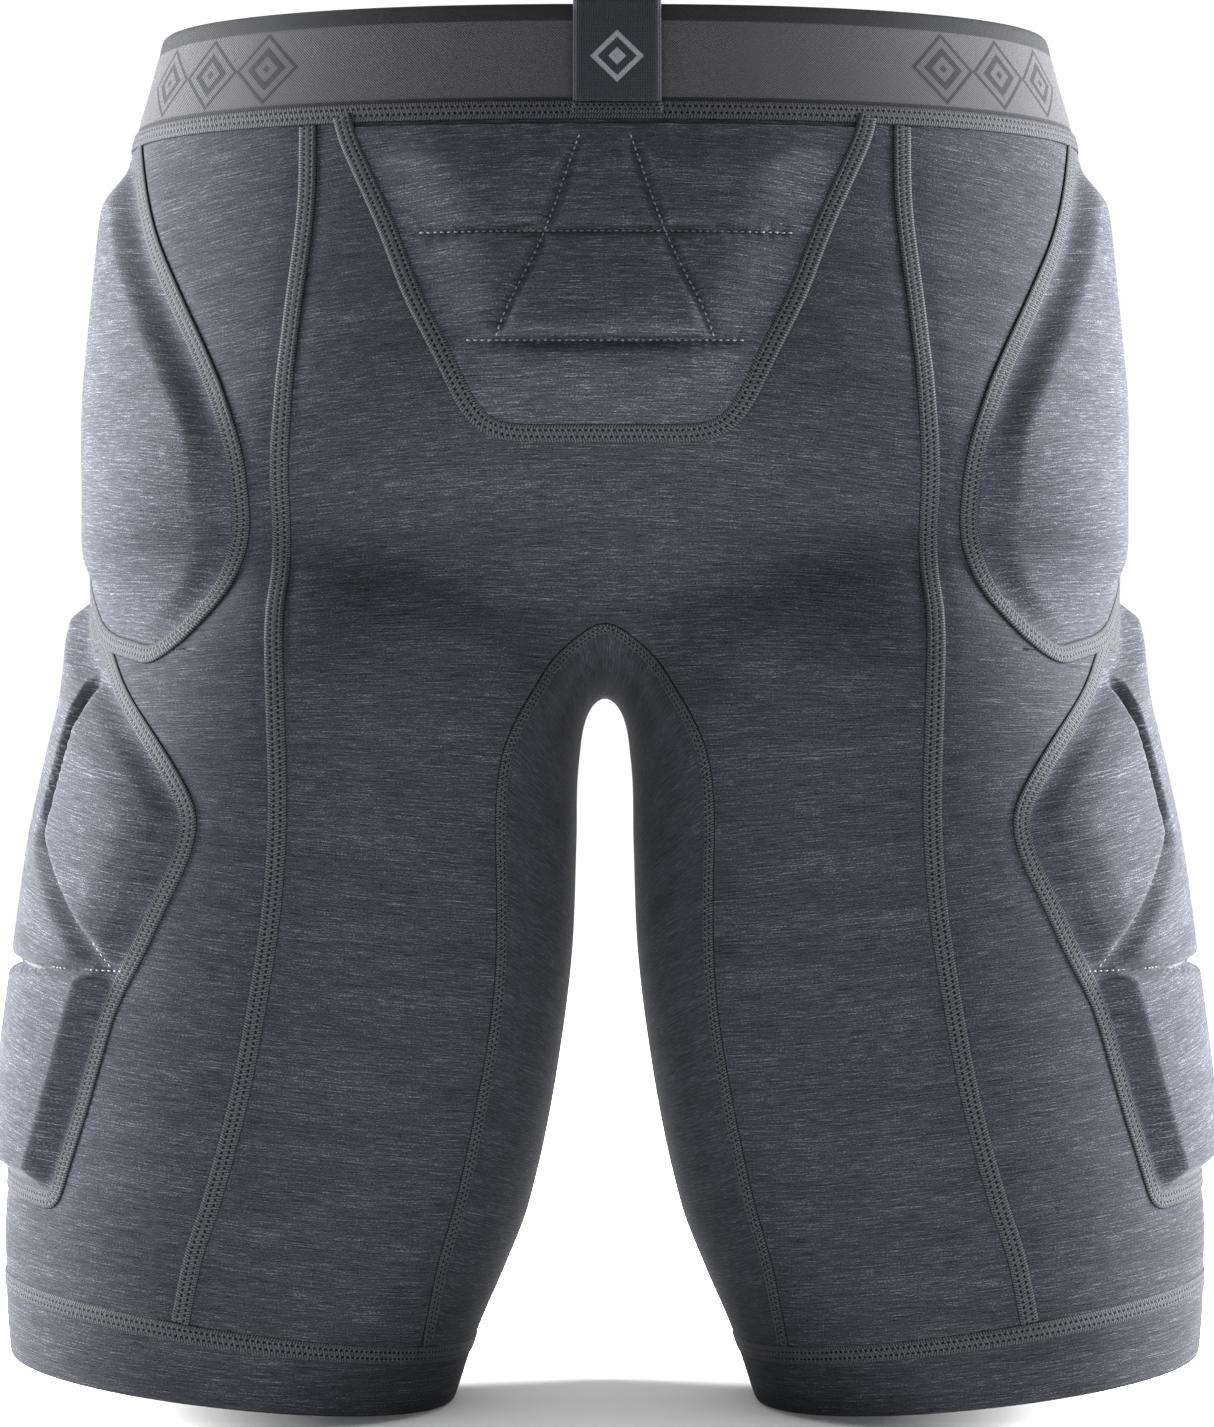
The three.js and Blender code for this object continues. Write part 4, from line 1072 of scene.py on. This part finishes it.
def body_seams():
    for place, half in (("back", BACK), ("front", FRONT)):
        run = lengths(half.princess)[-1]
        princess = settle(spread(half.princess, at=np.linspace(3.5 / run, 1 - 3.5 / run, 160)))
        for side, line in both_sides(princess):
            ribbon(f"{place}_seam_{side}", line, CLOTH_HIGH)
        run = lengths(half.gusset)[-1]
        right = spread(half.gusset, at=np.linspace(0, 1 - 3.5 / run, 150))
        whole = softened(np.vstack([(right * MIRROR)[::-1], right[1:]]))
        ribbon("gusset_seam_" + place, settle(whole), CLOTH_HIGH, width=0.8)


def pad_seams():
    def lobe(half):
        run = lengths(half.hip)[-1]
        down = spread(half.hip, at=np.linspace(5.5 / run, 1, 110))
        return np.vstack([down[:-1], spread(half.notch, 60)])
    back, front = lobe(BACK), lobe(FRONT)
    hip = softened(even_line(np.vstack([back, front[::-1][1:]])), 6)

    def thigh_round(half):
        over = spread(half.over_thigh, 36)
        down = spread(half.thigh, 120)
        return over[3:], down, spread(half.bottom, 50)
    over_b, down_b, floor_b = thigh_round(BACK)
    over_f, down_f, floor_f = thigh_round(FRONT)
    drop = np.array([0, 0, -7.2])
    loop = np.vstack([
        (over_b + drop)[::-1], down_b[2:-1], floor_b[:-1], floor_f[::-1][:-1],
        down_f[::-1][:-2], (over_f + drop)[:-1]])
    loop = settle(loop)[0]
    loop = softened(even_line(np.vstack([loop, loop[:1]]))[:-1], 5, closed=True)
    for (side, over), (_, under) in zip(both_sides(settle(hip)), both_sides(settle(loop))):
        ribbon("hip_pad_seam_" + side, over, CLOTH_HIGH + 0.1)
        ribbon("thigh_pad_seam_" + side, under, CLOTH_HIGH, closed=True)


def tail_seam():
    down = np.linspace(-4.2, 99.5, 120)
    right = np.column_stack([tail_half_width(np.clip(down, 0, TAIL_DROP)) - 1.2, down])
    floor = np.column_stack([np.linspace(36 - 1.5, -36 + 1.5, 50), np.full(50, 99.8)])
    left = right[::-1] * np.array([-1, 1])
    path = np.vstack([right, floor[1:-1], left])
    path = spread(np.column_stack([path, np.zeros(len(path))]), 170)[:, :2]
    path = softened(path, 26)
    ribbon("tailbone_seam", tail_points(path[:, 0], path[:, 1]), TAIL_LOW)


# ---- waistband, loop and hems
def ring_round(quarter_back, quarter_front):
    """Once round the body from two quarter lines that each run from the centre to the side."""
    right = np.vstack([quarter_back, quarter_front[::-1][1:]])
    left = (right * MIRROR)[::-1][1:-1]
    return np.vstack([right, left])


def stacked(rows):
    """A grid from rows of points with their normals."""
    return tuple(np.stack(column) for column in zip(*rows))


def waistband():
    ring = ring_round(*(even_line(half.waist, 2.4) for half in (BACK, FRONT)))
    heights = np.r_[WAIST_Z + 0.5, WAIST_Z + 1.5, np.linspace(WAIST_Z + 4, TOP_Z - 3, 12),
                    TOP_Z - 1.6, TOP_Z - 0.7, TOP_Z - 0.2, TOP_Z]
    p, n = stacked(slide_to(lambda x, z=z: np.full_like(x, z), ring, 4) for z in heights)
    # u is 0 at the centre back and negative round the left side, so the ring starts at the front
    u = lengths(np.vstack([p[0], p[0][:1]]))
    total = u[-1]
    start = int(np.argmax(u > total / 2 + 0.01))
    order = np.r_[start:p.shape[1], 0:start]
    p, n = p[:, order], n[:, order]
    v = 0.5 + np.concatenate([np.zeros((1, p.shape[1])), np.cumsum(
        np.linalg.norm(np.diff(p, axis=0), axis=2), axis=0)])
    v = np.concatenate([v, v[:, :1]], axis=1)
    u = np.broadcast_to(np.r_[u[start:-1] - total, u[:start + 1]], v.shape)
    round_top = np.interp(heights, [WAIST_Z, TOP_Z - 1.6, TOP_Z - 0.7, TOP_Z - 0.2, TOP_Z],
                          [0, 0, 0.18, 0.45, 0.75])[:, None]
    seam_dip = 0.35 * np.exp(-((heights - WAIST_Z - 5.0) / 1.6) ** 2)[:, None]
    top_ridge = -0.25 * np.exp(-((heights - TOP_Z + 6.2) / 0.9) ** 2)[:, None]
    high = BAND - round_top - seam_dip + top_ridge
    low = np.broadcast_to(round_top, high.shape)
    piece = sheet("waistband", (p, n), low, high, np.stack([u, v], -1) / 1000, ring=True)
    finish_piece(piece, BAND_WEAVE, "waistband")
    seam_line = slide_to(lambda x: np.full_like(x, WAIST_Z), ring, 4)
    ribbon("waist_seam", seam_line, BAND + 0.1, closed=True)


def hang_loop():
    """Webbing strip sewn on above the seam, over the top edge and down the inside."""
    across = np.linspace(-14.5, 14.5, 17)
    def face_y(z):
        return on_face(-1, [(0, z)])[0, 1]
    outside = [(face_y(z) - BAND - 1.0 - 0.9 * math.sin(math.pi * (z - WAIST_Z) / 36), z)
               for z in (WAIST_Z + 3.2, WAIST_Z + 6, WAIST_Z + 12, WAIST_Z + 20, WAIST_Z + 28,
                         TOP_Z - 2)]
    inside = [(face_y(z) + 1.6, z) for z in (TOP_Z - 2, TOP_Z - 8, WAIST_Z + 18, WAIST_Z + 10)]
    over = [((outside[-1][0] + inside[0][0]) / 2 - 1.7, TOP_Z + 1.55),
            ((outside[-1][0] + inside[0][0]) / 2 + 1.2, TOP_Z + 1.6)]
    outline = spline([(0, y, z) for y, z in outside + over + inside], 8)
    path = spread(outline, 64)
    way = unit(np.gradient(path, axis=0))
    out = np.stack([np.zeros(len(path)), -way[:, 2], way[:, 1]], -1)
    face_bend = across ** 2 / 1600.0
    p = path[:, None, :] + np.stack([across + LOOP_X, face_bend, np.zeros_like(across)], -1)[None]
    n = np.repeat(out[:, None, :], len(across), axis=1)
    if n[0, 0, 1] > 0:
        n = -n
    selvedge = np.interp(np.abs(across), [0, 12.6, 13.3, 14.0, 14.5], [0.55, 0.55, 0.62, 0.5, 0.2])
    high = np.broadcast_to(selvedge[None, :], p.shape[:2])
    run = lengths(path)
    uv = np.stack([np.broadcast_to(across[None, :], p.shape[:2]),
                   np.broadcast_to(run[:, None], p.shape[:2])], -1)
    piece = sheet("hang_loop", (p, n), -high, high, uv / 1000)
    finish_piece(piece, LOOP_WEAVE, "hang_loop")
    # the extra stitching where the strip is caught at the seam
    line = [(x + LOOP_X, 0, WAIST_Z + 0.5) for x in np.linspace(-15, 15, 24)]
    p, n = settle(meet(1, -SIGHT[0], line))
    ribbon("hang_loop_stitching", (p, n), BAND + 0.75, width=0.62)


def hem_ring(step=2.2):
    """The seam line round the right leg, starting at the gusset's back seam."""
    def edge(half):
        start = np.vstack([half.gusset[-1:], half.princess[-1:]])
        t = np.linspace(0, 1, 40)[:, None]
        seat = settle(start[0] * (1 - t) + start[1] * t)[0]
        return np.vstack([seat[:-1], spread(half.hem, 60)])
    back, front = edge(BACK), edge(FRONT)
    t = np.linspace(0, 1, 18)[1:-1, None]
    mid = INNER[-1]
    inner = np.vstack([FRONT.gusset[-1] * (1 - t) + mid * t, mid[None],
                       mid * (1 - t) + BACK.gusset[-1] * t])
    ring = np.vstack([back[:-1], front[::-1], settle(inner)[0]])
    ring = slide_to(hem_seam_z, ring, 3)[0]
    ring = np.vstack([ring, ring[:1]])
    return softened(spread(ring, int(lengths(ring)[-1] / step))[:-1], 4, closed=True)


def hems():
    ring = hem_ring()
    shares = np.concatenate([[0, 0.04], np.linspace(0.12, 0.86, 10), [0.93, 0.97, 0.99, 1.0]])
    whole = stacked(slide_to(
        lambda x, s=share: (hem_seam_z(x) - 0.4) * (1 - s) + hem_z(x) * s, ring, 4)
        for share in shares)
    round_low = np.interp(shares, [0, 0.93, 0.97, 0.99, 1.0], [0, 0.0, 0.18, 0.4, 0.8])[:, None]
    high, low = CLOTH_HIGH + 0.1 - round_low, 0.1 + round_low * 0.8
    seam_line = slide_to(hem_seam_z, ring, 4)
    for (side, grid), (_, seam) in zip(both_sides(whole), both_sides(seam_line)):
        closed = tuple(np.concatenate([a, a[:, :1]], axis=1) for a in grid)
        piece = sheet("hem_band_" + side, grid, low, high, weave(closed[0]), ring=True)
        finish_piece(piece, KNIT, "hem_band_" + side)
        ribbon("hem_seam_" + side, seam, CLOTH_HIGH + 0.05, closed=True)


for obj in bpy.context.selected_objects:
    obj.select_set(False)
body_panels()
side_panels()
gusset()
hip_pads()
thigh_pads()
thigh_stitches()
tailbone()
tail_seam()
body_seams()
pad_seams()
waistband()
hang_loop()
hems()


# ---- camera, floor and light
scene = bpy.context.scene
camera = bpy.data.objects.new("camera", bpy.data.cameras.new("camera"))
camera.data.lens = 108
camera.location = (0.0007, -1.5 + FORE / 1000, 0.239)
camera.rotation_euler = (math.radians(90), 0, 0)
scene.collection.objects.link(camera)
scene.camera = camera

bpy.ops.mesh.primitive_plane_add(size=300, location=(0, 0, -0.0005))
floor = bpy.context.object
floor.name = "floor"
pale = bpy.data.materials.new("pale_floor")
pale.use_nodes = True
pale_shader = pale.node_tree.nodes["Principled BSDF"].inputs
pale_shader["Base Color"].default_value = (0.95, 0.95, 0.95, 1)
pale_shader["Roughness"].default_value = 0.9
floor.data.materials.append(pale)

world = bpy.data.worlds.new("studio")
scene.world = world
world.use_nodes = True
world.node_tree.nodes["Background"].inputs[0].default_value = (1, 1, 1, 1)
world.node_tree.nodes["Background"].inputs[1].default_value = 1.07
scene.view_settings.view_transform = "Standard"


LAMP_TARGET = (0, 0.1, 0.34)        # a little above the middle of the shorts
LAMP_SIZE = 0.8


def soft_light(name, place, power):
    data = bpy.data.lights.new(name, "AREA")
    data.shape = "RECTANGLE"
    data.size = data.size_y = LAMP_SIZE
    data.energy = power
    lamp = bpy.data.objects.new(name, data)
    lamp.location = place
    aim = Vector(LAMP_TARGET) - Vector(place)
    lamp.rotation_euler = aim.to_track_quat("-Z", "Y").to_euler()
    scene.collection.objects.link(lamp)


soft_light("left_light", (-1.5, 0.3, 0.62), 365)
soft_light("right_light", (1.5, 0.3, 0.62), 385)
